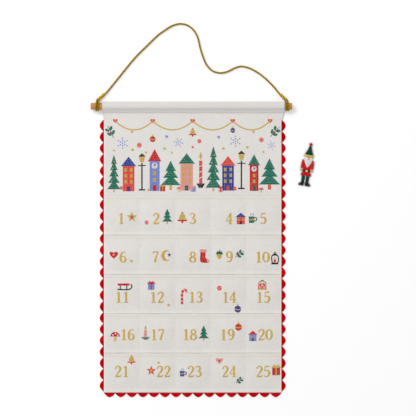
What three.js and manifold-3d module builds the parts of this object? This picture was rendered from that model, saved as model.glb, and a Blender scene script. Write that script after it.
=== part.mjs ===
// An embroidered cloth advent calendar on a wooden dowel. It lies on its back, with its hanging
// cord laid out beyond the dowel and its stuffed marker beside it.
// Lengths are in millimetres. X runs across the panel, Y up it towards the dowel, Z out of its front.
// The origin is on the back face, midway between the bottom edge and the top of the rod sleeve.
import * as THREE from "three";
import { mergeVertices } from "three/addons/utils/BufferGeometryUtils.js";
import Module from "manifold-3d";

const wasm = await Module();
wasm.setup();

// Clearances
const touch_gap = 0.3;
const cut_overrun = 2;
const weld_distance = 1e-4;

// Cloth panel: a front cloth and a lining with an interlining between them
const cloth_width = 532;
const cloth_height = 871;
const front_thickness = 1;
const lining_thickness = 1;
const interlining_thickness = 1;

// Rod sleeve across the top, a little wider than the panel at each side
const sleeve_depth = 30.5;
const sleeve_cloth = 1;
const sleeve_slack = 3;
const sleeve_seam = 2.5;
const sleeve_overhang_left = 3;
const sleeve_overhang_right = 8.5;
const sleeve_over_steps = 6;
const sleeve_far_steps = 12;

// Wooden dowel, which stands out further at the left end of the sleeve
const dowel_diameter = 20;
const dowel_out_left = 34.4;
const dowel_out_right = 22.1;
const dowel_edge = 0.6;
const dowel_sides = 32;

// Five strips of pockets, each stitched down into five
const row_count = 5;
const pocket_count = 5;
const row_pitch = 117.8;
const row_gap = 1.3;
const strip_cloth = 1;
const pocket_fullness = 6;
const stitch_width = 3;
const strip_margin = 2.5;
const strip_foot = 4;
const pocket_across_shares = [0, 0.1, 0.25, 0.5, 0.75, 0.9, 1];
const fullness_across_shares = [0, 0.78, 0.97, 1, 0.97, 0.78, 0];
const pocket_up_shares = [0, 0.12, 0.3, 0.55, 1];
const fullness_up_shares = [0, 0.58, 0.9, 1, 1];

// Scalloped trim, its tape caught in the seam and its lobes standing out
const lobe_thickness = 2.6;
const tape_width = 6;
const trim_foot = 1.5;
const side_lobe_count = 24;
const side_lobe_depth = 12.8;
const side_trim_lift = 3.4;
const side_trim_drop = 23;
const bottom_lobe_count = 16;
const bottom_lobe_depth = 14;
const bottom_trim_corner = 0.5;
const lobe_steps = 8;
const lobe_fullness = 1.85;

// Twisted hanging cord: its turns on the dowel, its doubled ends and its free stretch
const cord_diameter = 4.5;
const cord_sides = 8;
const cord_steps = 66;
const winding_gap = 1.4;
const front_passes = 2;
const unfinished_turn_share = 0.25;
const lead_angle_degrees = 35;
const winding_steps_per_turn = 24;
const winding_sides = 6;
const winding_out_left = 15.5;
const winding_out_right = 7.7;
const lead_steps = 7;
const rising_reach = 9;
const returning_reach = 15;
const doubled_end_reach = 3;
const lead_gap = 0.7;
const doubled_end_turns = 1.25;
const doubled_end_steps = 14;
const strand_overlap = 0.25;
const doubled_end_heart = 1.5;
const doubled_left_start = [3.1, 22.9];
const doubled_left_run = [18, 14.8];
const doubled_right_start = [-5.2, 22.9];
const doubled_right_run = [-15.4, 14.7];
const exit_gap = 0.6;
const exit_run = 5;
const cord_route = [
  [-245.6, 478.7],
  [-220.2, 510.2],
  [-171, 569.9],
  [-138, 602.9],
  [-101.1, 637.7],
  [-76.2, 655.1],
  [-59.7, 664.4],
  [-37.2, 669.8],
  [-16.5, 665.6],
  [1.8, 652.1],
  [14.1, 631.7],
  [22.5, 598.7],
  [31.5, 569.9],
  [41.1, 548],
  [59.4, 528.8],
  [82.2, 522.5],
  [104.7, 526.7],
  [125.4, 536.9],
  [143.7, 542],
  [166.5, 538.1],
  [193.2, 524.6],
  [219.9, 504.2],
  [244.5, 479.3],
];

// Stuffed marker: a small padded figure on a felt back, tilted as it lies
const marker_half_width = 18;
const marker_height = 130;
const marker_tilt_degrees = -9.5;
const marker_clear = 78.4;
const marker_rise = 248.9;
const felt_thickness = 1.5;
const marker_points = 20;
const felt_points = 60;
const outline_tension = 0.35;

// Places that follow from the sizes
const panel_top_z = lining_thickness + interlining_thickness + front_thickness;
const half_width = cloth_width / 2;
const bottom_y = -cloth_height / 2;
const top_y = cloth_height / 2;
const sleeve_seam_y = top_y - sleeve_depth;
const panel_length = sleeve_seam_y - touch_gap - bottom_y;
const pocket_pitch = (cloth_width - 2 * strip_margin + stitch_width) / pocket_count;
const dowel_radius = dowel_diameter / 2;
const dowel_y = top_y - sleeve_cloth - touch_gap - sleeve_slack - dowel_radius;
const cord_radius = cord_diameter / 2;
const turns_on_dowel = front_passes - unfinished_turn_share;
const dowel_z = cord_diameter + 2 * touch_gap + dowel_radius;
const sleeve_left_x = -half_width - sleeve_overhang_left;
const sleeve_right_x = half_width + sleeve_overhang_right;
const dowel_left_x = sleeve_left_x - dowel_out_left;
const dowel_right_x = sleeve_right_x + dowel_out_right;
const winding_left_x = sleeve_left_x - winding_out_left;
const winding_right_x = sleeve_right_x + winding_out_right;
const moved = ([x, y], [dx, dy]) => [x + dx, y + dy];
const doubled_left_near = moved([winding_left_x, dowel_y], doubled_left_start);
const doubled_left_far = moved(doubled_left_near, doubled_left_run);
const doubled_right_near = moved([winding_right_x, dowel_y], doubled_right_start);
const doubled_right_far = moved(doubled_right_near, doubled_right_run);

const materials = {
  canvas: new THREE.MeshStandardMaterial({ color: 0xe2deda, roughness: 0.95, metalness: 0 }),
  lining: new THREE.MeshStandardMaterial({ color: 0xdcd7d0, roughness: 0.95, metalness: 0 }),
  wood: new THREE.MeshStandardMaterial({ color: 0xcd8c55, roughness: 0.6, metalness: 0 }),
  red_felt: new THREE.MeshStandardMaterial({ color: 0xc80a19, roughness: 0.85, metalness: 0 }),
  gold_cord: new THREE.MeshStandardMaterial({ color: 0xa0801e, roughness: 0.45, metalness: 0.3 }),
  white_felt: new THREE.MeshStandardMaterial({ color: 0xe8e8ea, roughness: 0.95, metalness: 0 }),
  red_thread: new THREE.MeshStandardMaterial({ color: 0xe01a12, roughness: 0.7, metalness: 0 }),
  green_thread: new THREE.MeshStandardMaterial({ color: 0x0b3f35, roughness: 0.7, metalness: 0 }),
  gold_thread: new THREE.MeshStandardMaterial({ color: 0xc9a53c, roughness: 0.5, metalness: 0.2 }),
  black_thread: new THREE.MeshStandardMaterial({ color: 0x0c0a0b, roughness: 0.7, metalness: 0 }),
  skin_thread: new THREE.MeshStandardMaterial({ color: 0xe0a58c, roughness: 0.8, metalness: 0 }),
};

// A mesh of one piece, named and placed in the group that carries it.
function addPiece(group, name, geometry, material, position = [0, 0, 0]) {
  const mesh = new THREE.Mesh(geometry, material);
  mesh.name = name;
  mesh.position.set(...position);
  group.add(mesh);
  return mesh;
}

// A geometry as a solid that can be joined and cut.
function solidOf(geometry) {
  const bare = geometry.clone();
  bare.deleteAttribute("normal");
  bare.deleteAttribute("uv");
  const merged = mergeVertices(bare, weld_distance);
  return new wasm.Manifold(
    new wasm.Mesh({
      numProp: 3,
      vertProperties: new Float32Array(merged.attributes.position.array),
      triVerts: new Uint32Array(merged.index.array),
    }),
  );
}

// A solid as a geometry again.
function geometryOf(solid) {
  const mesh = solid.getMesh();
  const geometry = new THREE.BufferGeometry();
  geometry.setAttribute("position", new THREE.BufferAttribute(mesh.vertProperties, 3));
  geometry.setIndex(new THREE.BufferAttribute(mesh.triVerts, 1));
  geometry.computeVertexNormals();
  return geometry;
}

// A closed geometry from its points and triangles.
function closedGeometry(points, triangles) {
  const geometry = new THREE.BufferGeometry();
  geometry.setAttribute("position", new THREE.Float32BufferAttribute(points.flat(), 3));
  geometry.setIndex(triangles);
  geometry.computeVertexNormals();
  return geometry;
}

// An outline pulled straight up along Z.
function prism(outline, height) {
  const shape = new THREE.Shape(outline.map(([x, y]) => new THREE.Vector2(x, y)));
  return new THREE.ExtrudeGeometry(shape, { depth: height, bevelEnabled: false });
}

// A round tube along a curve, with flat ends square to it.
function tubeAlong(curve, radius, sides, steps) {
  const section = new THREE.Shape();
  for (let i = 0; i < sides; i += 1) {
    const angle = (2 * Math.PI * i) / sides;
    const point = [radius * Math.cos(angle), radius * Math.sin(angle)];
    if (i === 0) section.moveTo(...point);
    else section.lineTo(...point);
  }
  section.closePath();
  return new THREE.ExtrudeGeometry(section, { steps, extrudePath: curve, bevelEnabled: false });
}

function clothPanel(width, length, thickness) {
  const geometry = new THREE.BoxGeometry(width, length, thickness);
  geometry.translate(0, length / 2, thickness / 2);
  return geometry;
}

// The angle, seen from the centre, at which a line from the point touches the circle's upper side.
function touchAngle(point, centre, radius) {
  const across = point[0] - centre[0];
  const up = point[1] - centre[1];
  const towards = Math.atan2(up, across) + 2 * Math.PI;
  return towards - Math.acos(radius / Math.hypot(across, up));
}

// One face of the sleeve's cloth in its YZ section, from the seam over the dowel and round
// underneath. The cloth stands off the dowel by the slack on its far side.
function sleeveFace(seam_point, radius, floor_z) {
  const centre = [dowel_y, dowel_z];
  const outline = [seam_point];
  const start = touchAngle(seam_point, centre, radius);
  for (let i = 0; i <= sleeve_over_steps; i += 1) {
    const angle = start + ((Math.PI / 2 - start) * i) / sleeve_over_steps;
    outline.push([centre[0] + radius * Math.cos(angle), centre[1] + radius * Math.sin(angle)]);
  }
  const far_radius = radius + sleeve_slack;
  for (let i = 1; i <= sleeve_far_steps; i += 1) {
    const angle = Math.PI / 2 - (Math.PI * i) / sleeve_far_steps;
    const rise = angle > 0 ? radius : centre[1] - floor_z;
    outline.push([centre[0] + far_radius * Math.cos(angle), centre[1] + rise * Math.sin(angle)]);
  }
  return outline;
}

function rodSleeve() {
  const cover = dowel_radius + touch_gap;
  const outer = sleeveFace([sleeve_seam_y, panel_top_z], cover + sleeve_cloth, 0);
  outer.push([sleeve_seam_y, 0]);
  const inner_corner = [sleeve_seam_y + sleeve_seam, panel_top_z / 2];
  const inner = sleeveFace(inner_corner, cover, sleeve_cloth);
  inner.push([sleeve_seam_y + 2 * sleeve_seam, sleeve_cloth]);
  inner.reverse();
  const shape = new THREE.Shape(outer.map(([y, z]) => new THREE.Vector2(y, z)));
  shape.holes.push(new THREE.Path(inner.map(([y, z]) => new THREE.Vector2(y, z))));
  const length = sleeve_right_x - sleeve_left_x;
  const geometry = new THREE.ExtrudeGeometry(shape, { depth: length, bevelEnabled: false });
  const along_y = new THREE.Vector3(0, 1, 0);
  const along_z = new THREE.Vector3(0, 0, 1);
  const along_x = new THREE.Vector3(1, 0, 0);
  geometry.applyMatrix4(new THREE.Matrix4().makeBasis(along_y, along_z, along_x));
  return geometry;
}

function dowel() {
  const half = (dowel_right_x - dowel_left_x) / 2;
  const profile = [
    [0, -half],
    [dowel_radius - dowel_edge, -half],
    [dowel_radius, -half + dowel_edge],
    [dowel_radius, half - dowel_edge],
    [dowel_radius - dowel_edge, half],
    [0, half],
  ].map(([radius, along]) => new THREE.Vector2(radius, along));
  const geometry = new THREE.LatheGeometry(profile, dowel_sides);
  geometry.rotateZ(-Math.PI / 2);
  return geometry;
}

// Stations across a strip of pockets, each with the fullness that it gives the cloth.
function stationsAcross() {
  const stations = [[-half_width, 0]];
  const first_seam = (-pocket_pitch * (pocket_count - 2)) / 2;
  for (let i = 0; i < pocket_count; i += 1) {
    const is_first = i === 0;
    const is_last = i === pocket_count - 1;
    const left_seam = first_seam + pocket_pitch * (i - 1);
    const right_seam = left_seam + pocket_pitch;
    const left = is_first ? -half_width + strip_margin : left_seam + stitch_width / 2;
    const right = is_last ? half_width - strip_margin : right_seam - stitch_width / 2;
    pocket_across_shares.forEach((share, k) => {
      stations.push([left + (right - left) * share, fullness_across_shares[k]]);
    });
  }
  stations.push([half_width, 0]);
  return stations;
}

// Stations up a strip, from its stitched foot to the mouth of its pockets.
function stationsUp(strip_length) {
  const stations = [[0, 0]];
  pocket_up_shares.forEach((share, k) => {
    stations.push([strip_foot + (strip_length - strip_foot) * share, fullness_up_shares[k]]);
  });
  return stations;
}

// A strip of cloth that rises into a full pocket between each pair of its stitched lines.
function pocketStrip() {
  const across = stationsAcross();
  const up = stationsUp(row_pitch - row_gap);
  const columns = across.length;
  const rows = up.length;
  const points = [];
  for (const lift of [0, strip_cloth]) {
    for (const [y, full_up] of up) {
      for (const [x, full_across] of across) {
        points.push([x, y, lift + pocket_fullness * full_up * full_across]);
      }
    }
  }
  const upper = columns * rows;
  const at = (row, column) => row * columns + column;
  const triangles = [];
  for (let r = 0; r < rows - 1; r += 1) {
    for (let c = 0; c < columns - 1; c += 1) {
      const corners = [at(r, c), at(r, c + 1), at(r + 1, c + 1), at(r + 1, c)];
      const [a, b, d, e] = corners;
      triangles.push(a, d, b, a, e, d);
      triangles.push(upper + a, upper + b, upper + d, upper + a, upper + d, upper + e);
    }
  }
  const rim = [];
  for (let c = 0; c < columns - 1; c += 1) rim.push(at(0, c));
  for (let r = 0; r < rows - 1; r += 1) rim.push(at(r, columns - 1));
  for (let c = columns - 1; c > 0; c -= 1) rim.push(at(rows - 1, c));
  for (let r = rows - 1; r > 0; r -= 1) rim.push(at(r, 0));
  rim.forEach((a, i) => {
    const b = rim[(i + 1) % rim.length];
    triangles.push(a, b, upper + b, a, upper + b, upper + a);
  });
  return closedGeometry(points, triangles);
}

// A run of scalloped trim along X from zero, its lobes towards -Y and its tape towards +Y.
// Zero height is the panel's edge. A lobe is round at its tip and almost straight towards the
// notches beside it. The tape stops short of both ends by its inset.
function scallopTrim(lobe_count, pitch, depth, tape_inset) {
  const length = lobe_count * pitch;
  const foot = -touch_gap - trim_foot;
  const bulge = depth + foot;
  const outline = [
    [length, -touch_gap],
    [0, -touch_gap],
    [0, foot],
  ];
  for (let i = 0; i < lobe_count; i += 1) {
    for (let k = 1; k <= lobe_steps; k += 1) {
      const share = (2 * k) / lobe_steps - 1;
      const drop = bulge * (1 - Math.abs(share) ** lobe_fullness);
      outline.push([(i + 0.5 + share / 2) * pitch, foot - drop]);
    }
  }
  const lobes = prism(outline, lobe_thickness);
  lobes.translate(0, 0, (panel_top_z - lobe_thickness) / 2);
  const tape_length = length - 2 * tape_inset;
  const tape_reach = tape_width + touch_gap + trim_foot / 2;
  const tape = new THREE.BoxGeometry(tape_length, tape_reach, interlining_thickness);
  const tape_middle = (tape_width - touch_gap - trim_foot / 2) / 2;
  tape.translate(length / 2, tape_middle, lining_thickness + interlining_thickness / 2);
  return geometryOf(solidOf(lobes).add(solidOf(tape)));
}

// The middle of a doubled end's near face, with its directions along the end and across it.
function doubledEndFrame(near_point, far_point) {
  const near = new THREE.Vector3(...near_point, cord_diameter + touch_gap);
  const far = new THREE.Vector3(...far_point, cord_diameter + touch_gap);
  const along = far.clone().sub(near).normalize();
  const side = new THREE.Vector3(-along.y, along.x, 0);
  return { near, far, along, side };
}

// A bend from one point to another, with the way that it leaves the first and meets the second.
function bend(from, leaving, to, meeting) {
  const first = from.clone().add(leaving);
  const second = to.clone().sub(meeting);
  return new THREE.CubicBezierCurve3(from, first, second, to).getPoints(lead_steps);
}

// The cord's turns on the dowel as one tube. It rises from the doubled end, passes over the front
// as often as front_passes says and comes back underneath.
function windingCurve(middle_x, near_point, far_point) {
  const radius = dowel_radius + touch_gap + cord_radius;
  const pitch = cord_diameter + winding_gap;
  const start_angle = THREE.MathUtils.degToRad(lead_angle_degrees);
  const finish_angle = 2 * Math.PI * turns_on_dowel;
  const turns = (finish_angle - start_angle) / (2 * Math.PI);
  const steps = Math.round(winding_steps_per_turn * turns);
  const across = Math.sign(near_point[0] - middle_x);
  const round = [];
  for (let i = 0; i <= steps; i += 1) {
    const angle = start_angle + ((finish_angle - start_angle) * i) / steps;
    const x = middle_x + across * pitch * turns * (0.5 - i / steps);
    const y = dowel_y + radius * Math.cos(angle);
    round.push(new THREE.Vector3(x, y, dowel_z + radius * Math.sin(angle)));
  }
  const { near, along, side } = doubledEndFrame(near_point, far_point);
  near.addScaledVector(along, -lead_gap);
  const rising = near.clone().addScaledVector(side, (-across * pitch) / 2);
  const returning = near.clone().addScaledVector(side, (across * pitch) / 2);
  const out = along.clone().multiplyScalar(doubled_end_reach);
  const back = out.clone().negate();
  const onto_dowel = new THREE.Vector3(0, -Math.sin(start_angle), Math.cos(start_angle));
  onto_dowel.multiplyScalar(rising_reach);
  const off_dowel = new THREE.Vector3(0, returning_reach, 0);
  const first = bend(rising, back, round[0], onto_dowel).slice(0, -1);
  const last = bend(round[round.length - 1], off_dowel, returning, out).slice(1);
  return new THREE.CatmullRomCurve3([...first, ...round, ...last], false, "centripetal");
}

// The smallest gap between two stretches of a tube that are half a turn or more apart.
function leastSelfGap(curve, diameter) {
  const sample_count = 400;
  const samples = curve.getSpacedPoints(sample_count);
  const apart = Math.round((sample_count * Math.PI * dowel_radius) / curve.getLength());
  let least = Infinity;
  for (let i = 0; i < samples.length; i += 1) {
    for (let k = i + apart; k < samples.length; k += 1) {
      least = Math.min(least, samples[i].distanceTo(samples[k]) - diameter);
    }
  }
  return least;
}

// A doubled end: the cord's tail laid back along it and twisted round it, cut flat at both ends.
function doubledEnd(near_point, far_point) {
  const { near, far, along, side } = doubledEndFrame(near_point, far_point);
  const up = new THREE.Vector3(0, 0, 1);
  const orbit = cord_radius - strand_overlap;
  const heart = new THREE.LineCurve3(near, far);
  let joined = solidOf(tubeAlong(heart, doubled_end_heart, winding_sides, doubled_end_steps));
  for (const strand of [0, 1]) {
    const points = [];
    for (let i = -1; i <= doubled_end_steps + 1; i += 1) {
      const share = i / doubled_end_steps;
      const angle = Math.PI * (2 * doubled_end_turns * share + strand);
      const point = near.clone().lerp(far, share);
      point.addScaledVector(side, orbit * Math.cos(angle));
      point.addScaledVector(up, orbit * Math.sin(angle));
      points.push(point);
    }
    const curve = new THREE.CatmullRomCurve3(points, false, "centripetal");
    joined = joined.add(solidOf(tubeAlong(curve, cord_radius, winding_sides, doubled_end_steps)));
  }
  const back = along.clone().negate();
  joined = joined.trimByPlane(along.toArray(), near.dot(along) + touch_gap);
  joined = joined.trimByPlane(back.toArray(), far.dot(back) + touch_gap);
  return geometryOf(joined);
}

// The cord's free stretch, straight out of one doubled end, round its route and into the other.
function freeCordCurve() {
  const floor_z = cord_radius + touch_gap;
  const points = cord_route.map(([x, y]) => new THREE.Vector3(x, y, floor_z));
  const left = doubledEndFrame(doubled_left_near, doubled_left_far);
  const right = doubledEndFrame(doubled_right_near, doubled_right_far);
  for (const out of [exit_run, exit_gap]) {
    points.unshift(left.far.clone().addScaledVector(left.along, out));
    points.push(right.far.clone().addScaledVector(right.along, out));
  }
  return new THREE.CatmullRomCurve3(points, false, "centripetal");
}

// Outlines of the marker's pieces, as shares of its half width and of its height
const hat_shares = [
  [0, 0.426],
  [0.15, 0.42],
  [0.34, 0.34],
  [0.55, 0.27],
  [0.68, 0.235],
  [0.6, 0.226],
  [0, 0.222],
];
const hat_band_shares = [
  [0, 0.217],
  [0.6, 0.219],
  [0.76, 0.213],
  [0.78, 0.187],
  [0.68, 0.171],
  [0, 0.166],
];
const beard_shares = [
  [0, 0.161],
  [0.6, 0.164],
  [0.68, 0.12],
  [0.6, 0.045],
  [0.42, -0.03],
  [0.16, -0.092],
  [0, -0.105],
];
const coat_shares = [
  [0, 0.1],
  [0.5, 0.1],
  [0.62, 0.05],
  [0.64, -0.04],
  [0.62, -0.128],
  [0.5, -0.134],
  [0, -0.134],
];
const sleeve_shares = [
  [0.74, 0.092],
  [0.92, 0.09],
  [1.02, 0.05],
  [1.06, -0.04],
  [1.04, -0.098],
  [0.9, -0.104],
  [0.72, -0.1],
  [0.69, -0.04],
  [0.69, 0.04],
];
const mitten_shares = [
  [0.88, -0.111],
  [1.04, -0.122],
  [1.06, -0.146],
  [0.94, -0.168],
  [0.76, -0.164],
  [0.69, -0.142],
  [0.72, -0.119],
];
const belt_shares = [
  [0, -0.139],
  [0.6, -0.14],
  [0.64, -0.158],
  [0.6, -0.176],
  [0, -0.177],
];
const skirt_shares = [
  [0, -0.182],
  [0.56, -0.181],
  [0.72, -0.2],
  [0.88, -0.245],
  [0.84, -0.262],
  [0.4, -0.27],
  [0, -0.266],
];
const leg_shares = [
  [0.12, -0.275],
  [0.38, -0.278],
  [0.64, -0.273],
  [0.64, -0.33],
  [0.6, -0.384],
  [0.38, -0.388],
  [0.14, -0.384],
  [0.1, -0.33],
];
const boot_shares = [
  [0.14, -0.391],
  [0.38, -0.394],
  [0.6, -0.391],
  [0.64, -0.43],
  [0.92, -0.462],
  [1.0, -0.486],
  [0.86, -0.498],
  [0.4, -0.5],
  [0.14, -0.496],
  [0.1, -0.44],
];
const felt_shares = [
  [0, 0.516],
  [0.28, 0.507],
  [0.42, 0.475],
  [0.36, 0.43],
  [0.5, 0.36],
  [0.72, 0.28],
  [0.92, 0.235],
  [0.94, 0.18],
  [0.84, 0.15],
  [0.84, 0.112],
  [1.02, 0.107],
  [1.16, 0.06],
  [1.2, -0.04],
  [1.2, -0.15],
  [1.04, -0.183],
  [0.96, -0.2],
  [1.03, -0.262],
  [0.8, -0.29],
  [0.78, -0.41],
  [1.08, -0.455],
  [1.16, -0.5],
  [0.9, -0.516],
  [0, -0.518],
];
const pompom_radius = 4.4;
const pompom_share = 0.462;
const nose_radius = 4;
const nose_share = 0.122;
const buckle_half_width = 3.6;
const buckle_height = 5.4;
const buckle_thickness = 2.4;
const buckle_share = -0.158;
const belt_under_buckle = 3.4;
const pillow_ring_shares = [
  [1, 0],
  [1, 0.42],
  [0.84, 0.84],
  [0.46, 1],
];
const swell = {
  pompom: 8,
  hat: 7.5,
  hat_band: 8.5,
  nose: 10,
  beard: 8,
  coat: 6.5,
  sleeve: 7.5,
  mitten: 7,
  belt: 6,
  skirt: 7,
  leg: 6,
  boot: 6.5,
};

const scaled = (shares, side) =>
  shares.map(([u, v]) => [side * u * marker_half_width, v * marker_height]);

// A closed outline from the right half of a piece that is alike on both sides.
function mirroredOutline(shares) {
  const right = scaled(shares, 1);
  const left = scaled(shares, -1).slice(1, -1).reverse();
  return smoothOutline([...right, ...left]);
}

function sideOutline(shares, side) {
  return smoothOutline(scaled(shares, side));
}

function roundOutline(radius, centre_share) {
  const outline = [];
  for (let i = 0; i < marker_points; i += 1) {
    const angle = (2 * Math.PI * i) / marker_points;
    outline.push([radius * Math.cos(angle), centre_share * marker_height + radius * Math.sin(angle)]);
  }
  return outline;
}

function buckleOutline() {
  const middle = buckle_share * marker_height;
  return [
    [-buckle_half_width, middle - buckle_height / 2],
    [buckle_half_width, middle - buckle_height / 2],
    [buckle_half_width, middle + buckle_height / 2],
    [-buckle_half_width, middle + buckle_height / 2],
  ];
}

// A smooth closed outline through hand-chosen points, wound anticlockwise.
function smoothOutline(points, count = marker_points) {
  const knots = points.map(([x, y]) => new THREE.Vector3(x, y, 0));
  const curve = new THREE.CatmullRomCurve3(knots, true, "catmullrom", outline_tension);
  const outline = curve.getSpacedPoints(count).slice(0, -1).map(({ x, y }) => [x, y]);
  const area = THREE.ShapeUtils.area(outline.map(([x, y]) => new THREE.Vector2(x, y)));
  return area < 0 ? outline.reverse() : outline;
}

function middleOf(outline) {
  const total = outline.reduce(([a, b], [x, y]) => [a + x, b + y], [0, 0]);
  return total.map((sum) => sum / outline.length);
}

// An outline drawn out from its middle by a clearance, for the space that a piece takes.
function grown(outline, clearance) {
  const [cx, cy] = middleOf(outline);
  return outline.map(([x, y]) => {
    const reach = Math.hypot(x - cx, y - cy);
    const factor = (reach + clearance) / reach;
    return [cx + (x - cx) * factor, cy + (y - cy) * factor];
  });
}

// A padded piece: flat below, with upright sides that turn in to a low crown.
function pillow(outline, height) {
  const [cx, cy] = middleOf(outline);
  const count = outline.length;
  const points = [];
  for (const [spread, rise] of pillow_ring_shares) {
    for (const [x, y] of outline) {
      points.push([cx + (x - cx) * spread, cy + (y - cy) * spread, height * rise]);
    }
  }
  const top = points.push([cx, cy, height]) - 1;
  const base = points.push([cx, cy, 0]) - 1;
  const triangles = [];
  const last_ring = (pillow_ring_shares.length - 1) * count;
  for (let i = 0; i < count; i += 1) {
    const next = (i + 1) % count;
    triangles.push(base, next, i);
    triangles.push(top, last_ring + i, last_ring + next);
    for (let ring = 0; ring < last_ring; ring += count) {
      triangles.push(ring + i, ring + next, ring + count + next);
      triangles.push(ring + i, ring + count + next, ring + count + i);
    }
  }
  return closedGeometry(points, triangles);
}

// A padded piece with the space of a piece that lies in it cut away, down to a floor.
function cutPillow(outline, height, cut_outline, floor = -cut_overrun) {
  const cutter = prism(grown(cut_outline, touch_gap), height + 2 * cut_overrun);
  cutter.translate(0, 0, floor);
  return geometryOf(solidOf(pillow(outline, height)).subtract(solidOf(cutter)));
}

const calendar = new THREE.Group();

// Panel layers
const inset = tape_width + touch_gap;
const lining_place = [0, bottom_y, 0];
const interlining_place = [0, bottom_y + inset, lining_thickness];
const front_place = [0, bottom_y, lining_thickness + interlining_thickness];
const lining = clothPanel(cloth_width, panel_length, lining_thickness);
const interlining = clothPanel(cloth_width - 2 * inset, panel_length - inset, interlining_thickness);
const front = clothPanel(cloth_width, panel_length, front_thickness);
addPiece(calendar, "back_lining", lining, materials.lining, lining_place);
addPiece(calendar, "interlining", interlining, materials.lining, interlining_place);
addPiece(calendar, "front_panel", front, materials.canvas, front_place);

// Sleeve and dowel
addPiece(calendar, "rod_sleeve", rodSleeve(), materials.canvas, [sleeve_left_x, 0, 0]);
const dowel_place = [(dowel_left_x + dowel_right_x) / 2, dowel_y, dowel_z];
addPiece(calendar, "dowel", dowel(), materials.wood, dowel_place);

// Pocket strips, row 1 at the top
for (let row = 1; row <= row_count; row += 1) {
  const foot_y = bottom_y + row_gap + (row_count - row) * row_pitch;
  addPiece(calendar, `pocket_row_${row}`, pocketStrip(), materials.canvas, [0, foot_y, panel_top_z]);
}

// Scalloped trim on three edges
const side_length = panel_length - side_trim_lift - side_trim_drop;
const side_lobe_pitch = side_length / side_lobe_count;
const side_foot_y = bottom_y + side_trim_lift;
const bottom_length = cloth_width - 2 * bottom_trim_corner;
const bottom_lobe_pitch = bottom_length / bottom_lobe_count;
const bottom_inset = tape_width + touch_gap - bottom_trim_corner;
const side_trim = () => scallopTrim(side_lobe_count, side_lobe_pitch, side_lobe_depth, 0);
const bottom_trim = scallopTrim(bottom_lobe_count, bottom_lobe_pitch, bottom_lobe_depth, bottom_inset);
const left_place = [-half_width, side_foot_y + side_length, 0];
const right_place = [half_width, side_foot_y, 0];
const trim_left = addPiece(calendar, "scallop_trim_left", side_trim(), materials.red_felt, left_place);
trim_left.rotation.z = -Math.PI / 2;
const trim_right = addPiece(calendar, "scallop_trim_right", side_trim(), materials.red_felt, right_place);
trim_right.rotation.z = Math.PI / 2;
const bottom_place = [-bottom_length / 2, bottom_y, 0];
addPiece(calendar, "scallop_trim_bottom", bottom_trim, materials.red_felt, bottom_place);

// Hanging cord
const winding_steps = Math.round(winding_steps_per_turn * turns_on_dowel) + 2 * lead_steps;
const ends = {
  left: [winding_left_x, doubled_left_near, doubled_left_far],
  right: [winding_right_x, doubled_right_near, doubled_right_far],
};
for (const [side, [middle_x, near_point, far_point]] of Object.entries(ends)) {
  const curve = windingCurve(middle_x, near_point, far_point);
  const gap = leastSelfGap(curve, cord_diameter).toFixed(2);
  console.log(`least gap of the ${side} winding to itself: ${gap} mm`);
  const winding = tubeAlong(curve, cord_radius, winding_sides, winding_steps);
  addPiece(calendar, `cord_winding_${side}`, winding, materials.gold_cord);
  addPiece(calendar, `cord_doubled_end_${side}`, doubledEnd(near_point, far_point), materials.gold_cord);
}
const free_cord = tubeAlong(freeCordCurve(), cord_radius, cord_sides, cord_steps);
addPiece(calendar, "hanging_cord", free_cord, materials.gold_cord);

// Stuffed marker
const marker = new THREE.Group();
marker.position.set(half_width + marker_clear, marker_rise, 0);
marker.rotation.z = THREE.MathUtils.degToRad(marker_tilt_degrees);
calendar.add(marker);
const on_felt = [0, 0, felt_thickness];
const nose_outline = roundOutline(nose_radius, nose_share);
const beard_outline = mirroredOutline(beard_shares);
const felt_outline = smoothOutline(
  [...scaled(felt_shares, 1), ...scaled(felt_shares, -1).slice(1, -1).reverse()],
  felt_points,
);
addPiece(marker, "marker_felt_back", prism(felt_outline, felt_thickness), materials.white_felt);
const marker_pieces = [
  ["marker_pompom", pillow(roundOutline(pompom_radius, pompom_share), swell.pompom), materials.red_thread],
  ["marker_hat", pillow(mirroredOutline(hat_shares), swell.hat), materials.green_thread],
  ["marker_hat_band", pillow(mirroredOutline(hat_band_shares), swell.hat_band), materials.gold_thread],
  ["marker_nose", pillow(nose_outline, swell.nose), materials.skin_thread],
  ["marker_beard", cutPillow(beard_outline, swell.beard, nose_outline), materials.white_felt],
  ["marker_coat", cutPillow(mirroredOutline(coat_shares), swell.coat, beard_outline), materials.red_thread],
  [
    "marker_belt",
    cutPillow(mirroredOutline(belt_shares), swell.belt, buckleOutline(), belt_under_buckle),
    materials.black_thread,
  ],
  ["marker_coat_skirt", pillow(mirroredOutline(skirt_shares), swell.skirt), materials.red_thread],
];
for (const [name, side] of [["left", -1], ["right", 1]]) {
  marker_pieces.push(
    [`marker_sleeve_${name}`, pillow(sideOutline(sleeve_shares, side), swell.sleeve), materials.red_thread],
    [`marker_mitten_${name}`, pillow(sideOutline(mitten_shares, side), swell.mitten), materials.gold_thread],
    [`marker_leg_${name}`, pillow(sideOutline(leg_shares, side), swell.leg), materials.green_thread],
    [`marker_boot_${name}`, pillow(sideOutline(boot_shares, side), swell.boot), materials.black_thread],
  );
}
for (const [name, geometry, material] of marker_pieces) addPiece(marker, name, geometry, material, on_felt);
const buckle = prism(buckleOutline(), buckle_thickness);
const on_belt = [0, 0, felt_thickness + belt_under_buckle + touch_gap];
addPiece(marker, "marker_buckle", buckle, materials.gold_thread, on_belt);

export default calendar;
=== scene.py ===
"""Looks of a hanging advent calendar: cloth panel, pockets, scalloped trim, dowel, cord and marker.

Sizes are in millimetres in the row frame, X across the panel, Y up it and Z out of its front.
They become metres only where a mesh, a lamp or the camera is made.
"""

import copy
import math

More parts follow.
